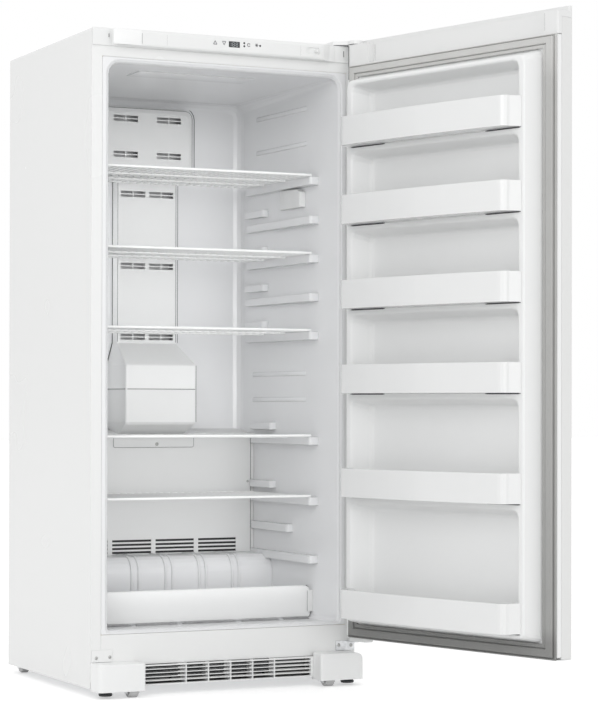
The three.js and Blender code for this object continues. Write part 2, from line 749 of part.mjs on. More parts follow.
const scoop = loft([
  roundRect(scoopLeft, scoopLeft + scoopWidth, fasciaBottom + 12, fasciaTop - 12, 8, 3)
    .map(([x, z]) => [x, -fasciaProud - 2, z]),
  roundRect(scoopLeft + 18, scoopLeft + scoopWidth - 2, fasciaBottom + 14, fasciaTop - 14, 6, 3)
    .map(([x, z]) => [x, -fasciaProud + scoopDepth, z]),
]);
const windowRecess = 1.5;
const fasciaBody = prism('z', [...fasciaPlan].reverse(), fasciaBottom, fasciaTop)
  .intersect(prism('x', [...fasciaSection].reverse(), 0, cabinetWidth));
const slotCut = (x) => box(x - 0.8, x + 0.8, -fasciaCapProud - 1, -fasciaCapProud + 1.5,
  fasciaBottom + 18, fasciaBottom + 32);
const fascia = cut(
  fasciaBody, scoop,
  box(displayLeft - fit, displayLeft + displayWidth + fit, -fasciaProud - 1,
    -fasciaProud + windowRecess, displayBottom - fit, displayBottom + displayHeight + fit),
  box(fasciaLeft + 60, scoopLeft - 12, -fasciaProud + 4, -3, fasciaBottom + 3, fasciaTop - 4),
  box(fasciaLeft + 80, scoopLeft - 30, -6, 1, fasciaBottom + 8, fasciaTop - 9),
  rod('y', [plungerX, plungerZ], plungerRadius + fit, -fasciaProud, 5, 12),
  slotCut(47), slotCut(721),
);
piece('control_fascia', 'trim', fascia);
piece('display_window', 'dark', box(displayLeft, displayLeft + displayWidth,
  -fasciaProud + 0.2, -fasciaProud + windowRecess - 0.05, displayBottom, displayBottom + displayHeight));
piece('control_board', 'board', join(
  box(fasciaLeft + 90, scoopLeft - 40, -4.6, -3, fasciaBottom + 10, fasciaTop - 11),
  box(displayLeft, displayLeft + displayWidth, -fasciaProud + 4.5, -4, fasciaBottom + 14, fasciaTop - 15),
  box(displayLeft + 60, displayLeft + 84, -14, -4, fasciaBottom + 12, fasciaTop - 22),
));
piece('door_switch_plunger', 'dark', turned('y', [plungerX, plungerZ], [
  [0, innerFace - doorBandRecess + 0.5], [plungerRadius - 1, innerFace - doorBandRecess + 0.5],
  [plungerRadius, innerFace - doorBandRecess + 2], [plungerRadius, -8], [0, -8],
], 12));

// ---------- hinges and blank plate ----------
const hingePlate = 3;
const hingeTopZ = cabinetTop + fit;
const plateHalf = 16;
const hingeCoverHeight = 11.5;
const hingeOutline = (grow) => [
  [pivotX - 50 - grow, 70 + grow], [pivotX - 50 - grow, 6 - grow / 2],
  [pivotX - plateHalf - grow, -12 - grow], ...arc(pivotX, pivotY, plateHalf + grow, 180, 360, 8),
  [pivotX + 8 + grow, 4], [pivotX + 8 + grow, 70 + grow],
];
piece('top_hinge_bracket', 'steel', join(
  prism('z', hingeOutline(0), hingeTopZ, hingeTopZ + hingePlate),
  rod('z', [pivotX, pivotY], pinRadius, hingeTopZ - 16, hingeTopZ + 1, 12),
));
const hingeCoverWall = 2;
piece('top_hinge_cover', 'trim', cut(
  prism('z', hingeOutline(hingeCoverWall + 0.6), hingeTopZ + 0.3, hingeTopZ + hingeCoverHeight),
  prism('z', hingeOutline(0.6), hingeTopZ - 1, hingeTopZ + hingePlate + fit),
  box(pivotX - 46, pivotX + 4, 8, 66, hingeTopZ, hingeTopZ + hingeCoverHeight - hingeCoverWall),
));

const bottomPlateZ = 112;
const bottomHinge = join(
  box(pivotX - 44, cabinetWidth - 2, -3, -fit, legCoverTop + 1, bottomPlateZ + hingePlate),
  prism('z', [
    [pivotX - 34, -2], [pivotX - plateHalf, -10], ...arc(pivotX, pivotY, plateHalf - 6, 180, 360, 8),
    [pivotX + 11.6, -2],
  ], bottomPlateZ, bottomPlateZ + hingePlate),
  rod('z', [pivotX, pivotY], pinRadius, bottomPlateZ + 1, doorBottom + 18, 12),
);
piece('bottom_hinge_bracket', 'steel', bottomHinge);
piece('blank_plate', 'enamel', prism('y', roundRect(legCoverTop + 1, 120, 3, 60, 4, 3), -2.4, -fit));

// ---------- air ducts and covers inside ----------
const slotPair = (x0, x1, z, y0, y1) => {
  const middle = (x0 + x1) / 2;
  const slots = [];
  for (const row of [0, 1]) {
    const low = z + row * (ventSlotHeight + 3);
    slots.push(box(x0, middle - 1.5, y0, y1, low, low + ventSlotHeight));
    slots.push(box(middle + 1.5, x1, y0, y1, low, low + ventSlotHeight));
  }
  return slots;
};
const backGap = compartmentDepth - fit;
function shellPanel(x0, x1, z0, z1, face, edge, radius) {
  return cut(
    frontLoft([
      [face, x0 + edge, x1 - edge, z0 + edge, z1 - edge, radius - edge * 0.6],
      [face + edge * 0.25, x0 + edge * 0.3, x1 - edge * 0.3, z0 + edge * 0.3, z1 - edge * 0.3,
        radius - edge * 0.2],
      [face + edge * 0.8, x0, x1, z0, z1, radius],
      [backGap, x0, x1, z0, z1, radius],
    ], 3),
    frontLoft([
      [face + panelWall, x0 + edge, x1 - edge, z0 + edge, z1 - edge, radius - edge * 0.6],
      [face + edge, x0 + panelWall, x1 - panelWall, z0 + panelWall, z1 - panelWall, radius - panelWall],
      [backGap + 1, x0 + panelWall, x1 - panelWall, z0 + panelWall, z1 - panelWall, radius - panelWall],
    ], 3),
  );
}
const upperPanelX0 = centre - upperPanelWidth / 2;
const upperPanelX1 = centre + upperPanelWidth / 2;
const ventReach = [29, 103];
const upperVentX = [-1, 1].map((side) => (
  ventReach.map((x) => centre + side * x).sort((a, b) => a - b)));
const upperVents = [];
for (const [x0, x1] of upperVentX) {
  for (const drop of upperVentDrops) {
    upperVents.push(...slotPair(x0, x1, upperPanelTop - drop, ductFace - 1, ductFace + 6));
  }
}
piece('upper_duct_panel', 'trim', cut(
  shellPanel(upperPanelX0, upperPanelX1, upperPanelBottom, upperPanelTop, ductFace, upperPanelEdge, 24),
  upperVents));

// The middle duct runs down and swells forward into the upper half of the fan housing.
const ductX0 = centre - ductWidth / 2;
const ductX1 = centre + ductWidth / 2;
const housingX0 = centre - fanHousingWidth / 2;
const housingX1 = centre + fanHousingWidth / 2;
const shoulderTop = fanHousingTop + fanShoulder;
function ductBody(inset, backReach) {
  const t = inset;
  const ring = (z, face, x0, x1) => {
    const r = 6;
    return roundRect(x0 + t, x1 - t, face + t, backGap + backReach, [r, r, 0, 0], 3)
      .map(([x, y]) => [x, y, z]);
  };
  return loft([
    ring(fanHousingSeam - (t ? 1 : 0), fanHousingFace, housingX0, housingX1),
    ring(fanHousingTop - 4, fanHousingFace, housingX0, housingX1),
    ring(fanHousingTop, fanHousingFace + 4, housingX0 + 1, housingX1 - 1),
    ring(shoulderTop, ductFace, ductX0, ductX1),
    ring(upperPanelBottom - fit - t, ductFace, ductX0, ductX1),
  ]);
}
const ductVents = [];
const ductVentReach = [6, 80];
for (const z of [...ductVentDrops.map((drop) => upperPanelBottom - drop), shoulderTop + 10]) {
  ductVents.push(...slotPair(centre - ductVentReach[1], centre - ductVentReach[0], z,
    ductFace - 1, ductFace + 6));
  ductVents.push(...slotPair(centre + ductVentReach[0], centre + ductVentReach[1], z,
    ductFace - 1, ductFace + 6));
}
piece('middle_duct', 'trim', cut(ductBody(0, 0), ductBody(panelWall, 5), ductVents));

// The lower half of the fan housing slopes back under the fan to the evaporator cover.
const housingFoot = coverTop + 5;
const coverRise = 18; // how far the cover's top climbs to the back wall
function housingLower(inset, backReach) {
  const t = inset;
  const up = t * 0.6;
  const ring = (z, face, x0, x1) => {
    const r = 6;
    return roundRect(x0 + t, x1 - t, face + t, backGap + backReach, [r, r, 0, 0], 3)
      .map(([x, y]) => [x, y, z]);
  };
  const top = fanHousingSeam - fit;
  const open = t ? [ring(housingFoot - 8, coverFace + 16, housingX0 + 6, housingX1 - 6)] : [];
  return loft([
    ...open,
    ring(housingFoot + up, coverFace + 16, housingX0 + 6, housingX1 - 6),
    ring(fanHousingBottom - 3 + up, fanHousingFace + 5, housingX0 + 2, housingX1 - 2),
    ring(fanHousingBottom + 4 + up, fanHousingFace, housingX0, housingX1),
    ring(top + (t ? 1 : 0), fanHousingFace, housingX0, housingX1),
  ]);
}
const overCover = prism('x', [
  [coverFace, coverTop - 20], [backGap + 5, coverTop - 20], [backGap + 5, coverTop + coverRise + 2],
  [coverFace + 6, coverTop + 1], [coverFace, coverTop + 1],
], housingX0 - 5, housingX1 + 5);
piece('fan_housing', 'trim', cut(housingLower(0, 0), housingLower(panelWall, 5), overCover));

// The evaporator cover with its four groups of return slots and its joint tab.
const coverX0 = openingSideWall + wallDraft;
const coverX1 = mirror(coverX0);
const coverBottom = humpTop + fit;
const coverSection = (t) => [
  [backGap + (t ? 5 : 0), coverBottom - (t ? 5 : 0)], [backGap + (t ? 5 : 0), coverTop + coverRise - t],
  [coverFace + 6 + t / 2, coverTop - t], [coverFace + t, coverTop - 8 - t],
  [coverFace + t, coverBottom - (t ? 5 : 0)],
];
const coverFit = (inset) => frontLoft(coldSpace(-inset, 5), 3);
const coverShell = cut(
  prism('x', coverSection(0).reverse(), 0, cabinetWidth).intersect(coverFit(fit + 0.2)),
  prism('x', coverSection(panelWall).reverse(), 0, cabinetWidth)
    .intersect(coverFit(fit + 0.2 + panelWall)),
  box(coverX0 + 20, coverX1 - 20, coverFace + 20, compartmentDepth, coverBottom - 1, coverTop + 8),
);
const returnVents = [];
for (let i = 0; i < 4; i++) {
  const middle = centre + (i - 1.5) * returnVentPitch;
  for (let row = 0; row < 4; row++) {
    const low = returnVentBottom + row * returnSlotPitch;
    returnVents.push(box(middle - returnVentWidth / 2, middle + returnVentWidth / 2,
      coverFace - 1, coverFace + panelWall + 1, low, low + returnSlotHeight));
  }
}
const tab = prism('y', roundRect(coverTop - 34, coverTop - 9, centre - coverTabWidth / 2,
  centre + coverTabWidth / 2, [6, 2, 2, 6], 2), coverFace - 1.5, coverFace + 1);
piece('evaporator_cover', 'trim', cut(join(coverShell, tab), returnVents));

// Evaporator: serpentine tube through a block of fins, heater below, fan above.
const coilX0 = coverX0 + 77;
const coilX1 = mirror(coilX0);
const coilPlane = (coverFace + panelWall + backGap) / 2;
const coilBottom = coverBottom + 85;
const coilPitch = 62;
const coilRuns = 3;
const coilTop = coilBottom + coilRuns * coilPitch;
const finWidth = 1.2;
const coilParts = [];
const coilPath = [];
for (let i = 0; i < coilRuns; i++) {
  const z = coilBottom + (i + 0.45) * coilPitch;
  const ends = i % 2 ? [coilX1, coilX0] : [coilX0, coilX1];
  coilPath.push([ends[0], coilPlane, z], [ends[1], coilPlane, z]);
}
coilParts.push(tube(coilPath, 5, 22, 5, 2));
const finCount = 3;
const finInset = 50;
for (let i = 0; i < finCount; i++) {
  const x = coilX0 + finInset + (i * (coilX1 - coilX0 - 2 * finInset)) / (finCount - 1);
  coilParts.push(box(x - finWidth, x + finWidth, coilPlane - 28, coilPlane + 28, coilBottom, coilTop));
}
const coilMiddle = (coilBottom + coilTop) / 2;
coilParts.push(box(coilX0 + finInset, coilX1 - finInset, coilPlane + 26, backGap - fit,
  coilMiddle - 2, coilMiddle + 2));
piece('evaporator_coil', 'aluminium', join(coilParts));
const heaterZ = coilBottom - 20;
piece('defrost_heater', 'steel', tube([
  [coilX0, coilPlane + 20, heaterZ + 8], [coilX0, coilPlane, heaterZ],
  [coilX1, coilPlane, heaterZ], [coilX1, backGap - 0.3, heaterZ],
], 4, 14, 8, 3));

function fanBlades(axis, middle, hubPoint, radius, blades, depth) {
  const hub = rod(axis, hubPoint, radius * 0.28, middle - depth / 2, middle + depth / 2, 12);
  const parts = [hub];
  for (let i = 0; i < blades; i++) {
    const angle = (2 * Math.PI * i) / blades;
    const geometry = new THREE.BoxGeometry(radius * 0.8, 1.8, radius * 0.62);
    geometry.rotateX(0.55);
    geometry.translate(radius * 0.6, 0, 0);
    geometry.rotateY(-angle);
    if (axis === 'x') geometry.rotateZ(-Math.PI / 2);
    const [a, b] = hubPoint;
    if (axis === 'y') geometry.translate(a, middle, b);
    if (axis === 'x') geometry.translate(middle, a, b);
    const swept = rod(axis, hubPoint, radius, middle - depth, middle + depth, 14);
    parts.push(solidOf(geometry).intersect(swept));
  }
  return join(parts);
}
const evapFanZ = 790;
const evapFanY = fanHousingFace + 61;
const shaftRadius = 2.5;
piece('evaporator_fan', 'dark', cut(
  fanBlades('y', evapFanY, [centre, evapFanZ], evaporatorFanRadius, 4, 26),
  rod('y', [centre, evapFanZ], shaftRadius + fit, 0, 900, 10)));
const evapMotor = join(
  rod('y', [centre, evapFanZ], 24, evapFanY + 16, evapFanY + 58, 16),
  rod('y', [centre, evapFanZ], shaftRadius, evapFanY - 10, evapFanY + 20, 8),
  box(centre - 92, centre + 92, evapFanY + 56, evapFanY + 60, evapFanZ - 6, evapFanZ + 6),
  box(centre - 92, centre - 86, evapFanY + 56, backGap - fit, evapFanZ - 6, evapFanZ + 6),
  box(centre + 86, centre + 92, evapFanY + 56, backGap - fit, evapFanZ - 6, evapFanZ + 6),
);
piece('evaporator_fan_motor', 'steel', evapMotor);

// A slim lamp and sensor housing on the right wall.
const sensorFront = 190;
const sensorRear = 330;
const sensorHeight = 54;
const sensorBottom = openingTop - 333;
const sensorReach = 17;
const wallFront = mirror(openingSideWall) - (wallDraft * sensorFront) / compartmentDepth;
const wallRear = mirror(openingSideWall) - (wallDraft * sensorRear) / compartmentDepth;
const sensorPlan = [
  [wallFront - sensorReach, sensorFront + 4], [wallFront - sensorReach + 3, sensorFront],
  [wallFront - fit - 0.2, sensorFront], [wallRear - fit - 0.2, sensorRear],
  [wallRear - 6, sensorRear], [wallFront - sensorReach, sensorFront + 16],
];
const sensorSide = [
  [sensorFront - 10, sensorBottom], [sensorRear + 10, sensorBottom],
  [sensorRear + 10, sensorBottom + sensorHeight], [sensorFront + 25, sensorBottom + sensorHeight - 4],
  [sensorFront - 1, sensorBottom + sensorHeight - 14],
];
piece('sensor_housing', 'trim',
  prism('z', sensorPlan, sensorBottom, sensorBottom + sensorHeight)
    .intersect(prism('x', sensorSide, 0, cabinetWidth)));

// ---------- shelves, gate ----------
// A wire shelf: round front rail, fine wires from front to back and a rear rail.
function shelf(name, ledgeTop, rear) {
  const x0 = centre - shelfWidth / 2;
  const x1 = centre + shelfWidth / 2;
  const low = ledgeTop + fit + 0.6;
  const spaces = [];
  const pitch = (shelfWidth - shelfWire) / (shelfWireCount - 1);
  const strip = 4;
  for (let i = 0; i + 1 < shelfWireCount; i++) {
    const a = x0 + shelfWire + i * pitch;
    spaces.push(box(a, a + pitch - shelfWire, shelfFront + strip, rear - strip, low - 1, low + 5));
  }
  const plate = cut(box(x0, x1, shelfFront, rear, low, low + shelfWire), spaces);
  const railZ = ledgeTop + fit + shelfRailRadius;
  const rail = rod('x', [shelfFront, railZ], shelfRailRadius, x0, x1, 6);
  const backRail = box(x0, x1, rear - 4, rear, ledgeTop + fit, ledgeTop + fit + 6);
  piece(name, 'wire', join(plate, rail, backRail));
}
shelf('shelf_1', ledgeTops.upper, shelfRear);
shelf('shelf_2', ledgeTops.third, shelfRear);
shelf('shelf_3', ledgeTops.fifth, shelfRear);
shelf('shelf_4', ledgeTops.sixth, shortShelfRear);
shelf('shelf_5', lowerLedgeTops.seventh, shortShelfRear);

// The gate across the floor: a shallow moulded bar, ribbed behind, that lifts out of two wall clips.
const gateBottom = floorLevel + gateLift;
const gateTop = gateBottom + gateHeight;
const gateWallX = (y) => openingSideWall + (wallDraft * y) / compartmentDepth;
const gateX0 = gateWallX(gateFace) + gateEndGap;
const gateX1 = mirror(gateX0);
const gateRing = (y, inset) => roundRect(gateX0 + inset, gateX1 - inset, gateBottom + inset,
  gateTop - inset, [8 - inset, 8 - inset, gateCornerRadius - inset, gateCornerRadius - inset], 3)
  .map(([x, z]) => [x, y, z]);
const gateBays = [];
const bayCount = 5;
const bay = (gateX1 - gateX0 - 2 * clipOverlap - 8) / bayCount;
for (let i = 0; i < bayCount; i++) {
  const x = gateX0 + clipOverlap + 4 + i * bay;
  gateBays.push(box(x + 1, x + bay - 1, gateFace + 3, gateFace + gateThickness + 1,
    gateBottom + 5, gateTop - 5));
}
piece('lift_gate', 'trim', cut(loft([
  gateRing(gateFace, 3), gateRing(gateFace + 3, 0), gateRing(gateFace + gateThickness, 0),
]), gateBays));
const clipPlay = 0.6;
const clipLip = 3;
const clipBottom = gateBottom + 16;
for (const [name, left] of [['gate_clip_left', true], ['gate_clip_right', false]]) {
  const y0 = gateFace - clipPlay - clipLip;
  const y1 = gateFace + gateThickness + clipPlay + clipLip;
  const wall = (y) => gateWallX(y) + fit;
  const outline = [
    [wall(y0), y0], [gateX0 + clipOverlap, y0], [gateX0 + clipOverlap, y0 + clipLip],
    [gateX0 - clipPlay, y0 + clipLip], [gateX0 - clipPlay, y1 - clipLip],
    [gateX0 + clipOverlap, y1 - clipLip], [gateX0 + clipOverlap, y1], [wall(y1), y1],
  ];
  const plan = left ? outline : outline.map(([x, y]) => [mirror(x), y]).reverse();
  piece(name, 'trim', prism('z', plan, clipBottom, clipBottom + clipHeight));
}

// ---------- machine compartment ----------
const machineFloor = deck + deckSheet + fit;
const compressorX = cabinetWidth - 200;
const compressorY = cabinetDepth - 104;
const footSpan = 92;
const compressor = join(
  turned('z', [compressorX, compressorY], [
    [0, machineFloor + 12], [compressorRadius - 18, machineFloor + 14],
    [compressorRadius - 4, machineFloor + 28], [compressorRadius - 2, machineFloor + 78],
    [compressorRadius + 2, machineFloor + 80], [compressorRadius + 2, machineFloor + 86],
    [compressorRadius - 3, machineFloor + 88], [compressorRadius - 8, machineFloor + 124],
    [compressorRadius - 26, machineFloor + compressorHeight - 6], [0, machineFloor + compressorHeight],
  ], 14),
  box(compressorX - footSpan, compressorX + footSpan, compressorY - 22, compressorY + 22,
    machineFloor + 14, machineFloor + 18),
  ...[-1, 1].map((s) => rod('z', [compressorX + s * (footSpan - 14), compressorY], 11,
    machineFloor, machineFloor + 15, 12)),
  box(compressorX - 20, compressorX + 24, compressorY - compressorRadius - 16,
    compressorY - compressorRadius + 20, machineFloor + 50, machineFloor + 104),
  tube([[compressorX - 40, compressorY + 20, machineFloor + 118],
    [compressorX - 40, compressorY + 20, machineFloor + 168],
    [compressorX - 110, compressorY + 20, machineFloor + 168]], 4, 14, 6, 3),
);
piece('compressor', 'dark', compressor);

// Condenser: a flat serpentine under the cabinet floor, on three rails.
const condenserZ = machineFloor + 40;
const condenserFront = 30;
const condenserBack = 330;
const condenserEnds = [150, cabinetWidth - 160];
const condenserPath = [];
const condenserRuns = 5;
for (let i = 0; i < condenserRuns; i++) {
  const y = condenserFront + 18 + i * 55;
  const [from, to] = i % 2 ? [1, 0] : [0, 1];
  condenserPath.push([condenserEnds[from], y, condenserZ], [condenserEnds[to], y, condenserZ]);
}
const condenserBars = [condenserEnds[0] + 90, condenserEnds[1] - 90].map((x) => join(
  box(x - 1.5, x + 1.5, condenserFront, condenserBack, condenserZ - 9, condenserZ + 9),
  ...[condenserFront + 10, condenserBack - 30].map((y) => (
    box(x - 1.5, x + 1.5, y, y + 12, machineFloor, condenserZ))),
));
piece('condenser_coil', 'dark', join(tube(condenserPath, 3, 20, 5, 2), condenserBars));

const fanX = 330;
const fanY = compressorY;
const fanZ = machineFloor + 82;
piece('condenser_fan', 'dark', cut(
  fanBlades('x', fanX, [fanY, fanZ], condenserFanRadius, 4, 26),
  rod('x', [fanY, fanZ], shaftRadius + fit, 0, 900, 10)));
const shroud = cut(
  prism('x', roundRect(fanY - condenserFanRadius - 9, fanY + condenserFanRadius + 9, machineFloor,
    fanZ + condenserFanRadius + 9, 10, 3), fanX - 16, fanX + 16),
  rod('x', [fanY, fanZ], condenserFanRadius + 3, fanX - 20, fanX + 20, 28),
);
const fanMotor = join(
  rod('x', [fanY, fanZ], 23, fanX + 17, fanX + 56, 16),
  rod('x', [fanY, fanZ], shaftRadius, fanX - 10, fanX + 20, 8),
  box(fanX + 15, fanX + 20, fanY - condenserFanRadius - 6, fanY + condenserFanRadius + 6,
    fanZ - 7, fanZ + 7),
);
piece('condenser_fan_motor', 'steel', join(shroud, fanMotor));
const trayLeft = 60;
const trayRight = 240;
const trayTop = machineFloor + 34;
const trayRing = (inset, z, radius) => (
  roundRect(trayLeft + inset, trayRight - inset, machineFront + 22 + inset,
    shellBack - 60 - inset, radius, 3).map(([x, y]) => [x, y, z]));
piece('drip_tray', 'dark', cut(
  loft([trayRing(0, machineFloor, 12), trayRing(-8, trayTop, 14)]),
  loft([trayRing(3, machineFloor + 2.5, 10), trayRing(-5.5, trayTop + 1, 12)]),
));

const coverRearBottom = deck + deckSheet + fit;
const rearSlots = [];
const slotColumns = 4;
const slotInset = 95;
const slotPitch = (cabinetWidth - 2 * slotInset + 25) / slotColumns;
for (let column = 0; column < slotColumns; column++) {
  for (let row = 0; row < 4; row++) {
    const x = slotInset + column * slotPitch;
    const z = 85 + row * 38;
    rearSlots.push(box(x, x + slotPitch - 25, shellBack - 10, cabinetDepth + 1, z, z + 10));
  }
}
// The mains inlet: a socket sunk in a frame that fills a window of the rear cover.
const inletX = 45;
const inletZ = 53;
const inletWindow = (grow) => [inletX - 25 - grow, inletX + 25 + grow];
const inletRise = (grow) => [inletZ - 13 - grow, inletZ + 13 + grow];
const rearCover = cut(
  box(sheet + fit, cabinetWidth - sheet - fit, shellBack - sheet, shellBack + 0.2,
    coverRearBottom, machineTop),
  rearSlots,
  box(...inletWindow(0), shellBack - 10, cabinetDepth + 1, ...inletRise(0)),
);
piece('machine_rear_cover', 'steel', rearCover);
const inletWell = [
  [inletZ - 8, inletX - 12], [inletZ + 3, inletX - 12], [inletZ + 8, inletX - 7],
  [inletZ + 8, inletX + 7], [inletZ + 3, inletX + 12], [inletZ - 8, inletX + 12],
];
const inletPins = [[-7, -1.5], [0, 3], [7, -1.5]].map(([across, up]) => (
  box(inletX + across - 1, inletX + across + 1, shellBack - 19, shellBack - 3,
    inletZ + up - 2.5, inletZ + up + 2.5)));
piece('cord_inlet', 'dark', join(
  cut(
    join(
      box(...inletWindow(-0.4), shellBack - 12, shellBack + 1.5, ...inletRise(-0.4)),
      box(...inletWindow(3), shellBack - 6, shellBack - sheet - fit, ...inletRise(3)),
      box(inletX - 15, inletX + 15, shellBack - 21, shellBack - 5, inletZ - 11, inletZ + 11),
    ),
    prism('y', inletWell, shellBack - 18, cabinetDepth + 1),
  ),
  inletPins,
));

// ---------- door ----------
const doorX0 = 0;
const doorX1 = cabinetWidth;
const steelBack = innerFace - doorSkinReturn;
const inside = sheet + fit;
// Steel skin: front and both ends in one sheet, folded in behind, open at top and bottom.
function doorSection(inset) {
  const r = 7 - inset;
  return roundRect(doorX0 + inset, doorX1 - inset, outerFace + inset, steelBack, [r, r, 0, 0], 4);
}
piece('door_skin', 'enamel', cut(
  prism('z', doorSection(0), doorBottom + 3, doorSkinTop),
  prism('z', doorSection(sheet).map(([x, y]) => [x, y === steelBack ? steelBack + 1 : y]),
    doorBottom, doorSkinTop + 1),
), doorGroup);
// What fills the skin keeps clear of its round corners.
const doorCore = (z0, z1) => prism('z', roundRect(inside, mirror(inside), outerFace + inside,
  steelBack - fit, [6, 6, 0, 0], 4), z0, z1);

// Top cap: moulded block with the recess that takes the fascia, end blocks and the hinge bush.
const hingeBlockX = doorX1 - hingeBlockWidth;
const recessFloor = innerFace - doorBandRecess;
const lipBack = outerFace + doorLipDepth;
const capEdge = [7, 7, 4, 4];
piece('door_top_cap', 'trim', cut(
  join(
    doorCore(doorBandBottom + fit, doorTop - 1),
    prism('z', roundRect(doorX0, doorX1, steelBack - fit - 1, innerFace, [0, 0, 4, 4], 3),
      doorBandBottom + fit, doorTop - 1).subtract(
      box(doorX0 - 1, doorX1 + 1, steelBack - fit - 2, steelBack + fit, doorBandBottom, doorSkinTop + fit)),
    box(inside, mirror(inside), steelBack - fit - 1, steelBack + fit + 1,
      doorBandBottom + fit, doorSkinTop + 1),
    prism('z', roundRect(doorX0, doorX1, outerFace, innerFace, capEdge, 4), doorSkinTop + fit, doorTop),
    prism('z', roundRect(doorX0, doorX1, outerFace, lipBack, [7, 7, 3, 3], 4), doorTop - 1,
      doorTop + doorLip),
  ),
  box(freeBlockWidth, hingeBlockX, recessFloor, innerFace + 5, doorBandBottom + 4, doorTop + 1),
  rod('z', [pivotX, pivotY], pinRadius + fit, doorTop - 20, doorTop + 5, 12),
), doorGroup);

// Pockets of the door liner, each with leaning walls and rounded mouth.
const rimPlane = innerFace + damHeight;
const damX0 = doorX0 + damInset;
const damX1 = doorX1 - damInset;
const damZ0 = doorBottom + 41;
const damZ1 = doorBandBottom - damTopInset;
const damRimX0 = damX0 + damLean;
const damRimZ0 = damZ0 + damLean;
const damRimZ1 = damZ1 - 17;
const pocketX0 = damRimX0 + damRim;
const pocketX1 = mirror(pocketX0);
const pocketTops = binBottoms.map((low, i) => (
  i === 0 ? damRimZ1 - 11 : binBottoms[i - 1] - webThickness
));
function pocket(index, t, front = true) {
  const low = binBottoms[index] + 2;
  const high = pocketTops[index];
  const bottom = innerFace + pocketFloor;
  const draft = (depth) => (pocketSideDraft * depth) / damHeight;
  const topDraft = (depth) => (pocketTopDraft * depth) / damHeight;
  const station = (y, grow) => {
    const depth = rimPlane - y;
    return [y, pocketX0 + draft(depth) - grow - t, mirror(pocketX0) - draft(depth) + grow + t,
      low - grow - t + depth * 0.05, high - topDraft(depth) + grow + t, pocketRadius + grow];
  };
  const mouth = front ? [
    station(rimPlane + 3, rimRound + 1), station(rimPlane, rimRound),
    station(rimPlane - rimRound * 0.3, rimRound * 0.3), station(rimPlane - rimRound, 0),
  ] : [station(rimPlane + 3, 0)];
  const round = front ? [
    station(bottom + pocketEndRound, 0), station(bottom + pocketEndRound * 0.3, -pocketEndRound * 0.3),
    station(bottom, -pocketEndRound),
  ] : [station(bottom - t, 0)];
  return frontLoft([...mouth, ...round], 2);
}
function dam(t, backY) {
  const station = (share, y, shrink) => {
    const lean = damLean * share;
    return [y, damX0 + lean + shrink + t, damX1 - lean - shrink - t, damZ0 + lean + shrink + t,
      damZ1 - 17 * share - shrink - t, 16];
  };
  return frontLoft([
    station(0, backY, 0), station(0, innerFace, 0), station(0.93, rimPlane - rimRound - t, 0),
    station(0.98, rimPlane - rimRound * 0.3 - t, rimRound * 0.3), station(1, rimPlane - t, rimRound),
  ], 3);
}
const pockets = binBottoms.map((_, i) => pocket(i, 0));
const backPockets = binBottoms.map((_, i) => pocket(i, plastic, false));
const foamPockets = binBottoms.map((_, i) => pocket(i, plastic + fit, false));
const linerPlate = prism('y', roundRect(doorBottom + 7, doorBandBottom - fit, doorX0 + inside,
  doorX1 - inside, 3, 2), innerFace - plastic, innerFace);
const linerEdge = cut(
  prism('y', roundRect(doorBottom + 7, doorBandBottom - fit, doorX0, doorX1, 3, 2), steelBack + fit, innerFace),
  box(doorX0 + plastic, doorX1 - plastic, steelBack - 1, innerFace + 1,
    doorBottom + 7 + plastic, doorBandBottom - fit - plastic),
);
const doorLinerSkin = cut(join(linerPlate, linerEdge, dam(0, innerFace - plastic)), pockets);
const hollow = cut(dam(plastic, innerFace - plastic - 1), backPockets);
const pocketBacks = cut(
  join(backPockets).intersect(box(doorX0, doorX1, innerFace - plastic - 1 - pocketFloor, rimPlane,
    doorBottom, doorTop)),
  pockets,
).intersect(dam(0, innerFace - plastic - pocketFloor));
const bushRadius = 9;
const bushTop = doorBottom + 22;
const bushHole = rod('z', [pivotX, pivotY], bushRadius + fit, doorBottom, bushTop + fit, 12);
piece('door_liner', 'liner', cut(join(cut(doorLinerSkin, hollow), pocketBacks), bushHole), doorGroup);

const foamTop = doorBandBottom - fit;
piece('door_foam', 'foam', cut(
  join(
    doorCore(doorBottom + 7 + fit, foamTop),
    box(doorX0 + plastic + fit, doorX1 - plastic - fit, steelBack - 1, innerFace - plastic - fit,
      doorBottom + 10, foamTop - plastic - fit),
    dam(plastic + fit, innerFace - plastic - 1),
  ),
  foamPockets, bushHole,
), doorGroup);

// Magnetic gasket: a mitred frame with a flat heel, a groove and a hollow-looking bulb.
const gasketOuter = [doorX0 + 2.5, doorX1 - 12, doorBottom + 2.5, doorBandBottom - 1];
const gasketInner = [
  doorX0 + gasketWidth + 2.5, doorX1 - gasketWidth - 3, damZ0 - fit, doorBandBottom - gasketTopWidth + 0.7,
];
const heel = innerFace + fit;
const proud = innerFace + gasketThickness;
piece('door_gasket', 'gasket', frameSweep(gasketOuter, gasketInner, [
  [0, heel], [0, heel + 6], [0.05, heel + 6], [0.07, heel + 2], [0.14, heel + 2], [0.16, proud - 2],
  [0.2, proud], [0.62, proud], [0.66, proud - 2], [0.67, heel + 4], [0.7, heel + 4],
  [0.72, heel + 7], [0.94, heel + 7], [0.97, heel + 5], [0.97, heel],
]), doorGroup);

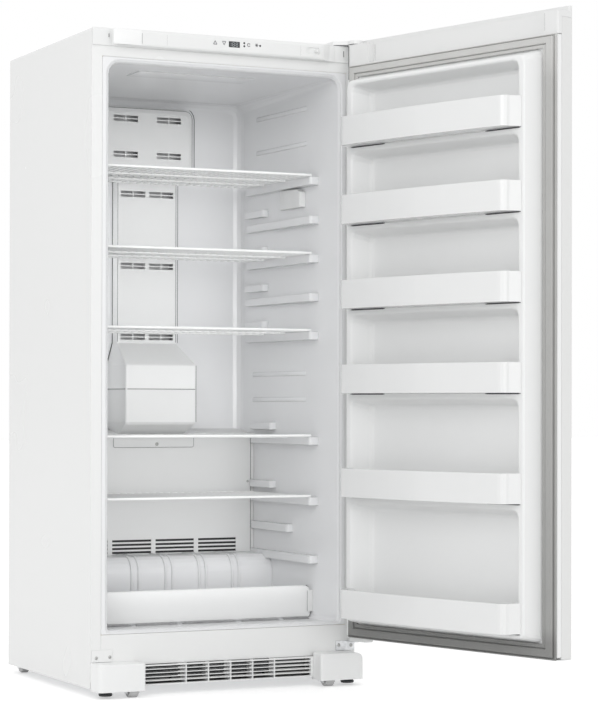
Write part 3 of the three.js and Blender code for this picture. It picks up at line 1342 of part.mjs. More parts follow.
piece('door_bottom_cap', 'trim', cut(
  join(
    doorCore(doorBottom + 3 + fit, doorBottom + 7),
    prism('z', roundRect(doorX0, doorX1, outerFace, innerFace, [7, 7, 3, 3], 4), doorBottom,
      doorBottom + 3 - fit),
    box(doorX0 + 20, doorX1 - 20, outerFace + 20, steelBack - 4, doorBottom + 1, doorBottom + 5),
    rod('z', [pivotX, pivotY], bushRadius, doorBottom + 1, bushTop, 12),
    prism('z', roundRect(doorX1 - 70, doorX1 - 2, pivotY - 16, innerFace - 4, 6, 3),
      bottomPlateZ + hingePlate + 0.8, doorBottom + 1),
  ),
  rod('z', [pivotX, pivotY], pinRadius + fit, bottomPlateZ, doorBottom + 20, 12),
), doorGroup);

// ---------- door bins ----------
// A bin hooks over the rim: bowed front, rounded corners, flared ends, floor, end returns.
function binOutline(t) {
  const x0 = binInset + t;
  const x1 = mirror(binInset) - t;
  const rear = rimPlane + fit;
  const flare = binEndFlare;
  const front = binFront - t;
  const r = binCornerRadius - t;
  const bowed = [];
  const steps = 6;
  for (let i = 0; i <= steps; i++) {
    const share = i / steps;
    const x = x1 - r - (x1 - x0 - 2 * r) * share;
    bowed.push([x, front + binBow * (1 - (2 * share - 1) ** 2)]);
  }
  return [
    [x0 - flare, rear - (t ? 5 : 0)], [x1 + flare, rear - (t ? 5 : 0)],
    ...arc(x1 - r, front - r, r, 0, 90, 4).slice(0, -1),
    ...bowed,
    ...arc(x0 + r, front - r, r, 90, 180, 4).slice(1),
  ];
}
binBottoms.forEach((low, i) => {
  const rear = rimPlane + fit;
  const body = cut(
    prism('z', binOutline(0), low, low + binHeight),
    prism('z', binOutline(binWall), low + binWall, low + binHeight + 1),
  );
  const x0 = binInset - binEndFlare;
  const ends = [x0 + 1, mirror(x0) - 27].map((x) => (
    box(x, x + 26, rear, rear + binWall, low + 1, low + binHeight)
  ));
  const hooks = [pocketX0 + 14, pocketX1 - 17].map((x) => (
    box(x, x + 3, rimPlane - 8, rear + 1, low + 24, low + 56)
  ));
  const backWall = box(x0 + 2, mirror(x0) - 2, rear, rear + binWall, low, low + 22);
  piece(`door_bin_${i + 1}`, 'trim', join(body, ends, hooks, backWall), doorGroup);
});

// ---------- frame ----------
freezer.updateMatrixWorld(true);
const reach = new THREE.Box3().setFromObject(freezer, true);
const shift = new THREE.Vector3(
  -(reach.min.x + reach.max.x) / 2,
  -(reach.min.y + reach.max.y) / 2,
  -reach.min.z,
);
const model = new THREE.Group();
freezer.position.copy(shift);
model.add(freezer);
model.updateMatrixWorld(true);

export default model;
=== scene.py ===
"""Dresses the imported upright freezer: a finish for every node, and its finest pieces."""

import json
import math

import bmesh
import bpy
from mathutils import Matrix, Vector


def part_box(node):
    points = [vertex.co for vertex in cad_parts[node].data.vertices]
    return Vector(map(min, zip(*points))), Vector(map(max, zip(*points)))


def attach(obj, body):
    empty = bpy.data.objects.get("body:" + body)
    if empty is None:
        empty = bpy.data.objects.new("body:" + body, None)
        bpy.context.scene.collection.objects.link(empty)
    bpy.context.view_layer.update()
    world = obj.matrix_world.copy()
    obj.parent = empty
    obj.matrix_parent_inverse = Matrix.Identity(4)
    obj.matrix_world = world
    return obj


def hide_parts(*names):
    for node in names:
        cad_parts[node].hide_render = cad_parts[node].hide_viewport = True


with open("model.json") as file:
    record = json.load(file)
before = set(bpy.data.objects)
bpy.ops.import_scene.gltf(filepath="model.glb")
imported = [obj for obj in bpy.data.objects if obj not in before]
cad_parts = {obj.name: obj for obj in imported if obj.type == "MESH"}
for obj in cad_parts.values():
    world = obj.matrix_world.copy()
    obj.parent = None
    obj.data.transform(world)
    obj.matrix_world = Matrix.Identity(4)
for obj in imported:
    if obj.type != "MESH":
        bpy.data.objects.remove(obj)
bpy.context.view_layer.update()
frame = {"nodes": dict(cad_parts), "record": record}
nodes = frame["nodes"]

MM = 0.001
shell_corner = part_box("cabinet_shell")[0]
ORIGIN = Vector((shell_corner.x, shell_corner.y, 0.0))
CABINET_WIDTH = 760
CENTRE = CABINET_WIDTH / 2
CABINET_BACK = 640.2
PIVOT = (746.4, -29.8)
DOOR_ANGLE = math.radians(105.2)
INNER_FACE = -12
COMPARTMENT_DEPTH = 590
WALL_FRONT, WALL_TAPER = 49, 23
CEILING_FRONT, CEILING_FALL = 1629, 12


def at(x, y, z):
    """A place in millimetres from the cabinet's front left corner and the floor."""
    return ORIGIN + Vector((x, y, z)) * MM


def on_door(x, y, z):
    """The same for the door as it stands open, given the place it has when shut."""
    a, b = x - PIVOT[0], y - PIVOT[1]
    c, s = math.cos(DOOR_ANGLE), math.sin(DOOR_ANGLE)
    return at(PIVOT[0] + a * c - b * s, PIVOT[1] + a * s + b * c, z)


# ---------- camera ----------
PICTURE_WIDTH, PICTURE_HEIGHT = 598, 717
FOCAL_PIXELS = 2308.911
PICTURE_CENTRE = (296.495, 384.796)
CAMERA_SPOT = (-2111.07, -5534.94, 746.65)
CAMERA_ANGLES = (25.966, 0.515, 0.116)
SENSOR_WIDTH = 36


def set_camera():
    yaw, pitch, roll = (math.radians(v) for v in CAMERA_ANGLES)
    level = math.cos(pitch)
    forward = Vector((math.sin(yaw) * level, math.cos(yaw) * level, math.sin(pitch)))
    right = Vector((math.cos(yaw), -math.sin(yaw), 0))
    up = right.cross(forward)
    right, up = (right * math.cos(roll) + up * math.sin(roll),
                 up * math.cos(roll) - right * math.sin(roll))
    data = bpy.data.cameras.new("camera")
    data.sensor_fit = "HORIZONTAL"
    data.sensor_width = SENSOR_WIDTH
    data.lens = SENSOR_WIDTH * FOCAL_PIXELS / PICTURE_WIDTH
    data.shift_x = (PICTURE_WIDTH / 2 - PICTURE_CENTRE[0]) / PICTURE_WIDTH
    data.shift_y = (PICTURE_CENTRE[1] - PICTURE_HEIGHT / 2) / PICTURE_WIDTH
    data.clip_end = 100
    camera = bpy.data.objects.new("camera", data)
    bpy.context.scene.collection.objects.link(camera)
    turn = Matrix((right, up, -forward)).transposed().to_4x4()
    camera.matrix_world = Matrix.Translation(at(*CAMERA_SPOT)) @ turn
    bpy.context.scene.camera = camera


set_camera()


# ---------- finishes ----------
class Look:
    """A material and the few nodes that its surface is made of."""

    def __init__(self, name):
        self.material = bpy.data.materials.new(name)
        self.material.use_nodes = True
        self.tree = self.material.node_tree
        self.tree.nodes.clear()
        self.output = self.node("ShaderNodeOutputMaterial")
        self.shader = self.node("ShaderNodeBsdfPrincipled")
        self.link(self.shader.outputs[0], self.output.inputs[0])
        self.place = self.node("ShaderNodeTexCoord").outputs["Object"]

    def node(self, kind, **settings):
        made = self.tree.nodes.new(kind)
        for key, value in settings.items():
            setattr(made, key, value)
        return made

    def link(self, source, target):
        self.tree.links.new(source, target)

    def put(self, **values):
        for key, value in values.items():
            self.shader.inputs[key.replace("_", " ")].default_value = value

    def stretched(self, scale):
        mapping = self.node("ShaderNodeMapping")
        mapping.inputs["Scale"].default_value = scale
        self.link(self.place, mapping.inputs["Vector"])
        return mapping.outputs[0]

    def noise(self, scale, detail=2.0, rough=0.5, stretch=None):
        made = self.node("ShaderNodeTexNoise")
        made.inputs["Scale"].default_value = scale
        made.inputs["Detail"].default_value = detail
        made.inputs["Roughness"].default_value = rough
        self.link(self.stretched(stretch) if stretch else self.place, made.inputs["Vector"])
        return made.outputs["Fac"]

    def cells(self, scale, stretch=None, feature="F1"):
        made = self.node("ShaderNodeTexVoronoi", feature=feature)
        made.inputs["Scale"].default_value = scale
        self.link(self.stretched(stretch) if stretch else self.place, made.inputs["Vector"])
        return made.outputs["Distance"]

    def height(self):
        """The share of the piece's own height, 0 at its foot and 1 at its top."""
        made = self.node("ShaderNodeSeparateXYZ")
        self.link(self.node("ShaderNodeTexCoord").outputs["Generated"], made.inputs[0])
        return made.outputs["Z"]

    def ramp(self, value, stops):
        made = self.node("ShaderNodeValToRGB")
        made.color_ramp.elements[0].position, first = stops[0]
        made.color_ramp.elements[0].color = (*first, 1)
        made.color_ramp.elements[1].position, last = stops[-1]
        made.color_ramp.elements[1].color = (*last, 1)
        for position, colour in stops[1:-1]:
            made.color_ramp.elements.new(position).color = (*colour, 1)
        self.link(value, made.inputs[0])
        return made.outputs[0]

    def spread(self, value, low, high, start=0.3, end=0.7):
        made = self.node("ShaderNodeMapRange")
        keys = ("From Min", "From Max", "To Min", "To Max")
        for key, number in zip(keys, (start, end, low, high)):
            made.inputs[key].default_value = number
        self.link(value, made.inputs["Value"])
        return made.outputs[0]

    def bump(self, height, strength, distance, under=None):
        made = self.node("ShaderNodeBump")
        made.inputs["Strength"].default_value = strength
        made.inputs["Distance"].default_value = distance
        self.link(height, made.inputs["Height"])
        if under:
            self.link(under, made.inputs["Normal"])
        return made.outputs[0]

    def soft_edges(self, radius):
        made = self.node("ShaderNodeBevel", samples=4)
        made.inputs["Radius"].default_value = radius
        return made.outputs[0]

    def finish(self, colour=None, rough=None, normal=None):
        for value, key in ((colour, "Base Color"), (rough, "Roughness"), (normal, "Normal")):
            if value:
                self.link(value, self.shader.inputs[key])
        return self.material


def shades(colour, amount, start=0.32, end=0.68):
    """Two close shades of a colour, a little cooler below and warmer above."""
    low = tuple(max(c * (1 - amount) + a, 0) for c, a in zip(colour, (-0.002, 0, 0.002)))
    high = tuple(min(c * (1 + amount * 0.6), 1) for c in colour)
    return [(start, low), (end, high)]


def moulded(name, colour, rough, wave=0.0, edge=0.0008, grain=0.06, coat=0.0):
    """Injection-moulded or thermoformed plastic: faint cloudiness, a fine grain and slow waves."""
    look = Look(name)
    cloud = look.noise(5, 3, 0.55)
    normal = look.soft_edges(edge)
    if wave:
        normal = look.bump(look.noise(9, 1, 0.4), wave, 0.004, normal)
    normal = look.bump(look.noise(1400, 2, 0.6), grain, 0.0003, normal)
    look.put(Coat_Weight=coat, Coat_Roughness=0.12, IOR=1.5)
    shine = look.spread(look.noise(4, 2, 0.5), rough - 0.025, rough + 0.025, 0, 1)
    return look.finish(look.ramp(cloud, shades(colour, 0.015, 0, 1)), shine, normal)


def painted(name, colour, rough, peel=0.015):
    """Sprayed and baked enamel over sheet steel, with its orange peel."""
    look = Look(name)
    normal = look.bump(look.noise(60, 2, 0.45), peel, 0.0006, look.soft_edges(0.0012))
    look.put(IOR=1.5)
    shade = look.ramp(look.noise(2.5, 4, 0.5), shades(colour, 0.008, 0, 1))
    shine = look.spread(look.noise(3, 2, 0.5), rough - 0.015, rough + 0.015, 0, 1)
    return look.finish(shade, shine, normal)


def bare_metal(name, colour, rough, stretch=(1, 1, 1), spangle=0.0):
    """Rolled or zinc-plated metal: streaks along the rolling and, on zinc, a crystal spangle."""
    look = Look(name)
    streaks = look.noise(160, 5, 0.65, stretch)
    normal = look.bump(streaks, 0.12, 0.0004, look.soft_edges(0.0004))
    shade = look.ramp(look.cells(90) if spangle else streaks, shades(colour, 0.05 + spangle))
    look.put(Metallic=1.0)
    return look.finish(shade, look.spread(streaks, rough - 0.08, rough + 0.1), normal)


def foam_look():
    look = Look("foam")
    bubbles = look.cells(520)
    normal = look.bump(bubbles, 0.5, 0.001)
    normal = look.bump(look.noise(30, 4), 0.4, 0.004, normal)
    shade = look.ramp(look.noise(14, 5), [(0.25, (0.70, 0.58, 0.31)), (0.75, (0.86, 0.76, 0.48))])
    look.put(Subsurface_Weight=0.05)
    return look.finish(shade, look.spread(bubbles, 0.75, 0.95), normal)


def rubber_look():
    look = Look("gasket_rubber")
    fine = look.noise(900, 3)
    normal = look.bump(fine, 0.15, 0.0003, look.soft_edges(0.0006))
    # painted shade and light: the rubber is drawn darker towards its foot, where the gasket lies in
    # shade, and lighter towards its top, where more light falls on it
    painted_shade_by_height = look.ramp(look.height(), [(share, (grey, grey, grey * 0.975)) for share, grey in (
        (0.026, 0.25), (0.05, 0.35), (0.25, 0.385), (0.55, 0.435), (0.93, 0.485), (0.98, 0.6))])
    cloud = look.node("ShaderNodeMix", data_type="RGBA", blend_type="MULTIPLY")
    look.link(painted_shade_by_height, cloud.inputs["A"])
    look.link(look.ramp(look.noise(12, 4), [(0.3, (0.95, 0.95, 0.95)), (0.7, (1, 1, 1))]),
              cloud.inputs["B"])
    cloud.inputs["Factor"].default_value = 1
    shade = cloud.outputs["Result"]
    look.put(Sheen_Weight=0.08, Sheen_Roughness=0.5)
    return look.finish(shade, look.spread(look.noise(60, 3), 0.42, 0.6), normal)


def fin_look():
    look = Look("shaded_aluminium_fins")
    fins = look.node("ShaderNodeTexWave", bands_direction="X")
    fins.inputs["Scale"].default_value = 80
    look.link(look.place, fins.inputs["Vector"])
    normal = look.bump(fins.outputs["Fac"], 0.35, 0.001)
    look.put(Metallic=1.0)
    # painted shade: the aluminium is drawn dark, standing for the shade on the coil behind the
    # cover's vents
    return look.finish(look.ramp(look.noise(25, 4), shades((0.4, 0.405, 0.41), 0.08)),
                       look.spread(look.noise(50, 3), 0.28, 0.46), normal)


def board_look():
    look = Look("circuit_board")
    tracks = look.cells(320, (1, 1, 3), "DISTANCE_TO_EDGE")
    shade = look.ramp(tracks, [(0.02, (0.16, 0.42, 0.24)), (0.09, (0.03, 0.17, 0.09))])
    return look.finish(shade, look.spread(look.noise(80), 0.3, 0.5), look.bump(tracks, 0.2, 0.0003))


def dark_look(name, colour, rough, grain=0.2, metal=0.0, coat=0.0):
    """Black plastic, paint or smoked window, with dust lying in the roughness."""
    look = Look(name)
    dust = look.noise(26, 6, 0.65)
    normal = look.bump(look.noise(1100, 2), grain, 0.0003, look.soft_edges(0.0006))
    look.put(Metallic=metal, Coat_Weight=coat, Coat_Roughness=0.05)
    return look.finish(look.ramp(dust, shades(colour, 0.3)),
                       look.spread(dust, rough - 0.08, rough + 0.14), normal)


def lamp_look(name, colour, strength):
    """A small lit segment or lamp, a little uneven behind its window."""
    look = Look(name)
    glow = look.ramp(look.noise(300, 2), [(0.2, tuple(c * 0.8 for c in colour)), (0.8, colour)])
    look.link(glow, look.shader.inputs["Emission Color"])
    look.put(Emission_Strength=strength)
    return look.finish(glow, look.spread(look.noise(200), 0.3, 0.5))


WHITE = (0.86, 0.864, 0.858)
LINER = (0.87, 0.875, 0.884)
enamel = painted("cabinet_enamel", WHITE, 0.27)
# painted shade: the door's enamel is a darker copy of the cabinet's white, standing for the lesser
# light on the open door
door_enamel = painted("door_enamel", (0.77, 0.773, 0.765), 0.25)
liner = moulded("liner_plastic", LINER, 0.2, 0.06, 0.004, 0.03)
door_liner = moulded("door_liner_plastic", (0.87, 0.875, 0.872), 0.3, 0.03, 0.003, 0.04)
trim = moulded("trim_plastic", (0.85, 0.855, 0.85), 0.32, 0.04)
# painted highlight: a whiter copy of the trim plastic, standing for the highlight on the fascia's
# end cap
highlight_trim = moulded("painted_highlight_trim_plastic", (0.93, 0.935, 0.932), 0.2, 0.03)
band_plastic = moulded("door_band_plastic", (0.80, 0.803, 0.798), 0.32, 0.04)
cover_plastic = moulded("cover_plastic", (0.775, 0.78, 0.776), 0.32, 0.04)
# painted light: a lighter copy of the trim plastic, standing for more light falling on the gate,
# the middle duct and the leg covers
lit_trim = moulded("lit_copy_trim_plastic", (0.905, 0.91, 0.906), 0.3, 0.04)
bin_plastic = moulded("bin_plastic", (0.83, 0.835, 0.832), 0.22, 0.03, 0.0006, 0.03, 0.3)
roller_plastic = moulded("roller_plastic", (0.55, 0.55, 0.55), 0.4)
foam = foam_look()
rubber = rubber_look()
wire = painted("coated_wire", (0.94, 0.943, 0.938), 0.24)
zinc = bare_metal("zinc_steel", (0.66, 0.67, 0.68), 0.34, (1, 12, 12), 0.06)
bright_screw = bare_metal("screw_steel", (0.5, 0.5, 0.49), 0.32, (1, 1, 14))
black_steel = dark_look("black_enamelled_steel", (0.02, 0.02, 0.022), 0.34, 0.25, 0.0, 0.4)
fins = fin_look()
black_plastic = dark_look("black_plastic", (0.022, 0.022, 0.024), 0.42)
window = dark_look("display_plastic", (0.012, 0.012, 0.014), 0.3, 0.02)
# painted shadow: the grey of the strip on the floor under the lift gate
gate_shadow_grey = dark_look("painted_gate_shadow", (0.33, 0.33, 0.335), 0.6)
# painted shade: near-black for the screens behind the kick grille, standing for the dark hollow
# behind it
shade_screen_black = dark_look("painted_shade_screen", (0.006, 0.006, 0.007), 0.75, 0.5)
board = board_look()
seam = dark_look("shadow_gap", (0.07, 0.07, 0.075), 0.6)
digit = lamp_look("lit_digit", (0.34, 0.36, 0.37), 0.2)
print_grey = dark_look("printed_mark", (0.38, 0.38, 0.39), 0.5, 0.05)

slot_looks = {
    "enamel": enamel, "door_enamel": door_enamel, "liner_plastic": liner,
    "door_liner_plastic": door_liner, "trim_plastic": trim, "bin_plastic": bin_plastic,
    "roller_plastic": roller_plastic, "foam": foam, "gasket_rubber": rubber, "coated_wire": wire,
    "zinc_steel": zinc, "black_steel": black_steel, "aluminium": fins,
    "black_plastic": black_plastic, "display_plastic": window, "board": board,
}
node_looks = {"door_top_cap": band_plastic, "evaporator_cover": cover_plastic}
# painted light: these four parts take the lighter copy of the trim plastic
for name in ("lift_gate", "middle_duct", "leg_cover_left", "leg_cover_right"):
    node_looks[name] = lit_trim
for entry in frame["record"]["subparts"]:
    mesh = nodes[entry["node"]].data
    mesh.materials.clear()
    mesh.materials.append(node_looks.get(entry["node"]) or slot_looks[entry["material_slot"]])


# ---------- small pieces ----------
def add_piece(name, mesh, look, body, smooth=35):
    """Names a mesh, gives it a finish, and lets it ride on a body."""
    made = bpy.data.objects.new(name, mesh)
    bpy.context.scene.collection.objects.link(made)
    mesh.materials.clear()
    mesh.materials.append(look)
    if smooth:
        mesh.polygons.foreach_set("use_smooth", [True] * len(mesh.polygons))
        mesh.set_sharp_from_angle(angle=math.radians(smooth))
    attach(made, body)
    return made


def mesh_of(name, build):
    mesh = bpy.data.meshes.new(name)
    shape = bmesh.new()
    build(shape)
    bmesh.ops.recalc_face_normals(shape, faces=shape.faces)
    shape.to_mesh(mesh)
    shape.free()
    return mesh


def add_rings(shape, rings):
    """Skins a chain of rings, each with as many points, and caps its two ends."""
    loops = [[shape.verts.new(p) for p in ring] for ring in rings]
    for a, b in zip(loops, loops[1:]):
        for i in range(len(a)):
            j = (i + 1) % len(a)
            shape.faces.new((a[i], a[j], b[j], b[i]))
    shape.faces.new(loops[0][::-1])
    shape.faces.new(loops[-1])


def add_rod(shape, path, radius, sides=10):
    """A round bar along a chain of places in metres, its corners mitred."""
    rings = []
    normal = None
    for i, spot in enumerate(path):
        ahead = (path[min(i + 1, len(path) - 1)] - path[max(i - 1, 0)]).normalized()
        if normal is None:
            normal = ahead.orthogonal().normalized()
        normal = (normal - ahead * normal.dot(ahead)).normalized()
        side = ahead.cross(normal)
        rings.append([spot + (normal * math.cos(t) + side * math.sin(t)) * radius
                      for t in (2 * math.pi * k / sides for k in range(sides))])
    add_rings(shape, rings)


def basis(normal):
    """Two directions across a normal, the second as upright as it can be."""
    n = normal.normalized()
    up = Vector((0, 0, 1)) if abs(n.z) < 0.9 else Vector((0, 1, 0))
    side = up.cross(n).normalized()
    return side, n.cross(side), n


def turned_rings(profile, sides=20):
    """Rings about the Z axis, one for each radius and height of the profile."""
    turns = [2 * math.pi * k / sides for k in range(sides)]
    return [[Vector((r * math.cos(t), r * math.sin(t), h)) for t in turns] for r, h in profile]


def screw_mesh():
    """A pan head with a cross recess, 1 unit in radius, standing on the XY plane."""
    def head(shape):
        add_rings(shape, turned_rings([(1, -0.15), (1, 0.12), (0.93, 0.3), (0.75, 0.42), (0.4, 0.5),
                                       (0.12, 0.52)]))

    def tool(shape):
        for turn in (0, math.pi / 2):
            c, s = math.cos(turn), math.sin(turn)
            ring = [(-0.56, -0.11), (0.56, -0.11), (0.56, 0.11), (-0.56, 0.11)]
            small = [(x * 0.35, y * 0.8) for x, y in ring]
            add_rings(shape, [[Vector((x * c - y * s, x * s + y * c, h)) for x, y in pts]
                              for pts, h in ((small, 0.12), (ring, 0.56))])
    a = bpy.data.objects.new("screw_head", mesh_of("screw_head", head))
    b = bpy.data.objects.new("screw_tool", mesh_of("screw_tool", tool))
    for item in (a, b):
        bpy.context.scene.collection.objects.link(item)
    recess = a.modifiers.new("recess", "BOOLEAN")
    recess.operation = "DIFFERENCE"
    recess.object = b
    recess.solver = "EXACT"
    recess.use_self = True
    graph = bpy.context.evaluated_depsgraph_get()
    mesh = bpy.data.meshes.new_from_object(a.evaluated_get(graph))
    bpy.data.objects.remove(a)
    bpy.data.objects.remove(b)
    return mesh


SCREW = screw_mesh()


def screw(name, spot, normal, radius, turn=0.3):
    mesh = SCREW.copy()
    side, up, out = basis(normal)
    frame_turn = Matrix((side, up, out)).transposed() @ Matrix.Rotation(turn, 3, "Z")
    mesh.transform(Matrix.Translation(spot) @ frame_turn.to_4x4() @ Matrix.Scale(radius * MM, 4))
    return add_piece(name, mesh, bright_screw, "cabinet", 30)


# ---------- wire shelves ----------
SHELVES = {1: (1373, 530), 2: (1160, 530), 3: (949, 530), 4: (661, 484), 5: (496, 484)}
SHELF_FRONT = 118
SHELF_HALF = 306
SHELF_WIRES = 29


def shelf_mesh(ledge_top, rear):
    """Front and rear rails, the wires over them and two cross bars below, as one mesh."""
    x0, x1 = CENTRE - SHELF_HALF, CENTRE + SHELF_HALF
    wire_z = ledge_top + 2.6
    rail_z = ledge_top + 3.8

    def build(shape):
        for y, drop, radius, sides in ((SHELF_FRONT, 0, 3.5, 12), (rear - 2.6, 0.5, 2.6, 10)):
            rail = [at(x, y, rail_z - drop) for x in (x0 + 0.4, x1 - 0.4)]
            add_rod(shape, rail, radius * MM, sides)
        for i in range(SHELF_WIRES):
            x = x0 + 1.7 + i * (2 * SHELF_HALF - 3.4) / (SHELF_WIRES - 1)
            add_rod(shape, [at(x, SHELF_FRONT, rail_z + 0.6), at(x, SHELF_FRONT + 9, wire_z),
                            at(x, rear - 2, wire_z)], 2.3 * MM, 8)
        for share in (0.35, 0.69):
            y = SHELF_FRONT + (rear - SHELF_FRONT) * share
            bar = [at(x0 + 10, y, wire_z - 3.2), at(x1 - 10, y, wire_z - 3.6)]
            add_rod(shape, bar, 2.5 * MM, 10)
    return mesh_of("shelf_wires", build)


for number, (ledge_top, rear) in SHELVES.items():
    rack = add_piece(f"wire_shelf_{number}", shelf_mesh(ledge_top, rear), wire, f"rack_{number}",
                     50)
    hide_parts(f"shelf_{number}")

# ---------- screws ----------
front = Vector((0, -1, 0))
back = Vector((0, 1, 0))
screw("hinge_screw_inner", at(711, -3, 103.6), front, 4.6)
screw("hinge_screw_outer", at(748, -3, 102), front, 4.6, turn=0.7)
screw("blank_screw_inner", at(52.8, -2.4, 101), front, 4.3, turn=0.5)
screw("blank_screw_outer", at(15.7, -2.4, 100), front, 4.3, turn=0.9)
screw("cover_screw_tab", at(389, 498.5, 637), front, 5.0, turn=0.2)
screw("cover_screw_side", at(672, 500, 529), front, 3.6, turn=0.6)
cover_holes = [(x, 262) for x in (90, 270, 490, 670)] + [(x, 36) for x in (90, 380, 670)]
for i, (x, z) in enumerate(cover_holes):
    screw(f"machine_cover_screw_{i}", at(x, CABINET_BACK, z), back, 3.8, turn=0.3 + i)
for i, (x, z) in enumerate([(x, z) for x in (22, 738) for z in (330, 680, 1030, 1380, 1680)]):
    screw(f"rear_panel_screw_{i}", at(x, CABINET_BACK, z), back, 3.4, turn=0.4 + i)


def seam_line(name, spots, radius, body="cabinet"):
    """A dark joint between two pieces, or painted shade along a step, drawn along places in metres.
    """
    mesh = mesh_of(name, lambda shape: add_rod(shape, spots, radius * MM, 6))
    return add_piece(name, mesh, seam, body, 60)


# ---------- control fascia ----------
FASCIA_FACE = -24
END_CAP_CORNER = 3.4
SEVEN = {"1": "bc", "8": "abcdefg"}


def segment(shape, x, z, wide, high, key):
    """One bar of a figure, as a slim hexagon."""
    upright = key in "bcef"
    cx = {"a": 0.5, "d": 0.5, "g": 0.5, "b": 1, "c": 1, "e": 0, "f": 0}[key]
    cz = {"a": 1, "d": 0, "g": 0.5, "b": 0.75, "f": 0.75, "c": 0.25, "e": 0.25}[key]
    half = (high * 0.5 if upright else wide) * 0.44
    thick = 0.75
    flat = half - thick
    pts = [(-half, 0), (-flat, thick), (flat, thick), (half, 0), (flat, -thick), (-flat, -thick)]
    if upright:
        pts = [(b, a) for a, b in pts]
    ring = [(x + cx * wide + a, z + cz * high + b) for a, b in pts]
    add_rings(shape, [[at(a, FASCIA_FACE + y, b) for a, b in ring] for y in (0.22, 0.05)])


def figures(text, x, z, wide=6.0, high=10.2, pitch=9.8):
    """A row of seven-bar figures from a left foot in the fascia's plane."""
    def build(shape):
        for i, figure in enumerate(text):
            for key in SEVEN[figure]:
                segment(shape, x + i * pitch, z, wide, high, key)
    return mesh_of("figures", build)


add_piece("display_figures", figures("188", 374.2, 1688.4), digit, "cabinet", 0)


def disc(name, x, z, radius, look):
    """A low round lens on the fascia."""
    proud = 0.25

    def build(shape):
        rings = turned_rings([(radius, -0.2), (radius, proud * 0.5), (radius * 0.7, proud),
                              (radius * 0.2, proud)], 16)
        add_rings(shape, [[at(x + v.x, FASCIA_FACE - v.z, z + v.y) for v in ring]
                          for ring in rings])
    return add_piece(name, mesh_of(name, build), look, "cabinet")


for i, (x, z) in enumerate([(418, 1699), (418, 1691), (464, 1695)]):
    disc(f"fascia_lamp_{i}", x, z, 2.7, window)


def outline_mark(name, points, closed=True, thick=1.3):
    """A thin printed line on the fascia, drawn through points in the fascia's plane."""
    def build(shape):
        path = points + [points[0]] if closed else points
        for (ax, az), (bx, bz) in zip(path, path[1:]):
            run = Vector((bx - ax, bz - az)).normalized()
            off = Vector((-run.y, run.x)) * thick
            ring = [(ax - off.x, az - off.y), (bx - off.x, bz - off.y), (bx + off.x, bz + off.y),
                    (ax + off.x, az + off.y)]
            add_rings(shape, [[at(x, FASCIA_FACE + y, z) for x, z in ring] for y in (0.1, -0.04)])
    return add_piece(name, mesh_of(name, build), print_grey, "cabinet", 0)


outline_mark("mark_up", [(329.6, 1690.8), (334.5, 1699.6), (339.4, 1690.8)])
outline_mark("mark_down", [(355.1, 1699.6), (360, 1690.8), (364.9, 1699.6)])
outline_mark("mark_moon", [(431 + 4 * math.cos(t), 1695 + 4 * math.sin(t))
                           for t in (math.radians(a) for a in range(20, 341, 32))], closed=False)
for i, (dx, dz) in enumerate([(4.6, 0), (2.4, 4.1), (-2.4, 4.1)]):
    outline_mark(f"mark_frost_{i}", [(454 - dx, 1696 - dz), (454 + dx, 1696 + dz)], closed=False)


def end_cap(shape):
    """The glossy end piece of the fascia, a hair proud of it, with round corners, in a whiter
    plastic as a painted highlight.
    """
    rings = []
    for inset, y in ((0.6, 0.2), (0, 0.05), (0, -0.25), (0.5, -0.4)):
        reach = END_CAP_CORNER - inset
        corners = []
        for cx, cz, start in ((125, 1709, 0), (53, 1709, 90), (53, 1676, 180), (125, 1676, 270)):
            for t in (math.radians(start + 30 * k) for k in range(4)):
                corners.append(at(cx + reach * math.cos(t), FASCIA_FACE + y,
                                  cz + reach * math.sin(t)))
        rings.append(corners)
    add_rings(shape, rings)


# painted highlight: the end cap is drawn whiter than the fascia around it
add_piece("fascia_end_cap", mesh_of("fascia_end_cap", end_cap), highlight_trim, "cabinet",
          40)

for name, x, z0, z1 in (("left", 37.5, 1688, 1697), ("right", 712, 1682, 1698)):
    seam_line(f"fascia_slot_{name}",
              [at(x, FASCIA_FACE + 0.2, z) for z in (z0, (z0 + z1) / 2, z1)], 0.9)
HINGE_COVER_FOOT = 1716.3
HINGE_COVER_RADIUS = 18.6
around_pin = [(PIVOT[0] + HINGE_COVER_RADIUS * math.cos(t),
               PIVOT[1] + HINGE_COVER_RADIUS * math.sin(t))
              for t in (math.radians(a) for a in range(190, 361, 17))]
seam_line("hinge_cover_joint", [at(x, y, HINGE_COVER_FOOT) for x, y in
                                [(694, 4.7), (727.8, -14.6)] + around_pin + [(764.6, 4)]], 0.9)


# ---------- liner details ----------
def wall_x(y):
    return WALL_FRONT + WALL_TAPER * y / COMPARTMENT_DEPTH


def rounded_bar(shape, places, half_high, proud, out):
    """A soft raised bead along places in millimetres, standing proud along out."""
    profile = [(-1, -0.2), (-0.85, 0.45), (-0.5, 0.9), (0, 1), (0.5, 0.9), (0.85, 0.45), (1, -0.2)]
    add_rings(shape, [[at(*(p + Vector((0, 0, b * half_high)) + out * a * proud))
                       for b, a in profile] for p in places])


for side, name in ((1, "right"), (-1, "left")):
    for z, y0, y1 in ((1568, 180, 490), (1471, 180, 490), (836, 184, 510), (764, 184, 510)):
        def wall_rib(shape):
            mirror = (lambda x: CABINET_WIDTH - x) if side > 0 else (lambda x: x)
            middle = (y0 + y1) / 2
            depths = (y0, y0 + 6, middle - 50, middle + 50, y1 - 6, y1)
            spots = [Vector((mirror(wall_x(y)), y, z)) for y in depths]
            spots[0] -= Vector((-side * 2.5, 0, 0))
            spots[-1] -= Vector((-side * 2.5, 0, 0))
            rounded_bar(shape, spots, 7, 2.2, Vector((-side, 0, 0)))
        add_piece(f"wall_rib_{name}_{z}", mesh_of("wall_rib", wall_rib), liner, "cabinet",
                  60)


def ceiling_z(y):
    return CEILING_FRONT - CEILING_FALL * y / COMPARTMENT_DEPTH


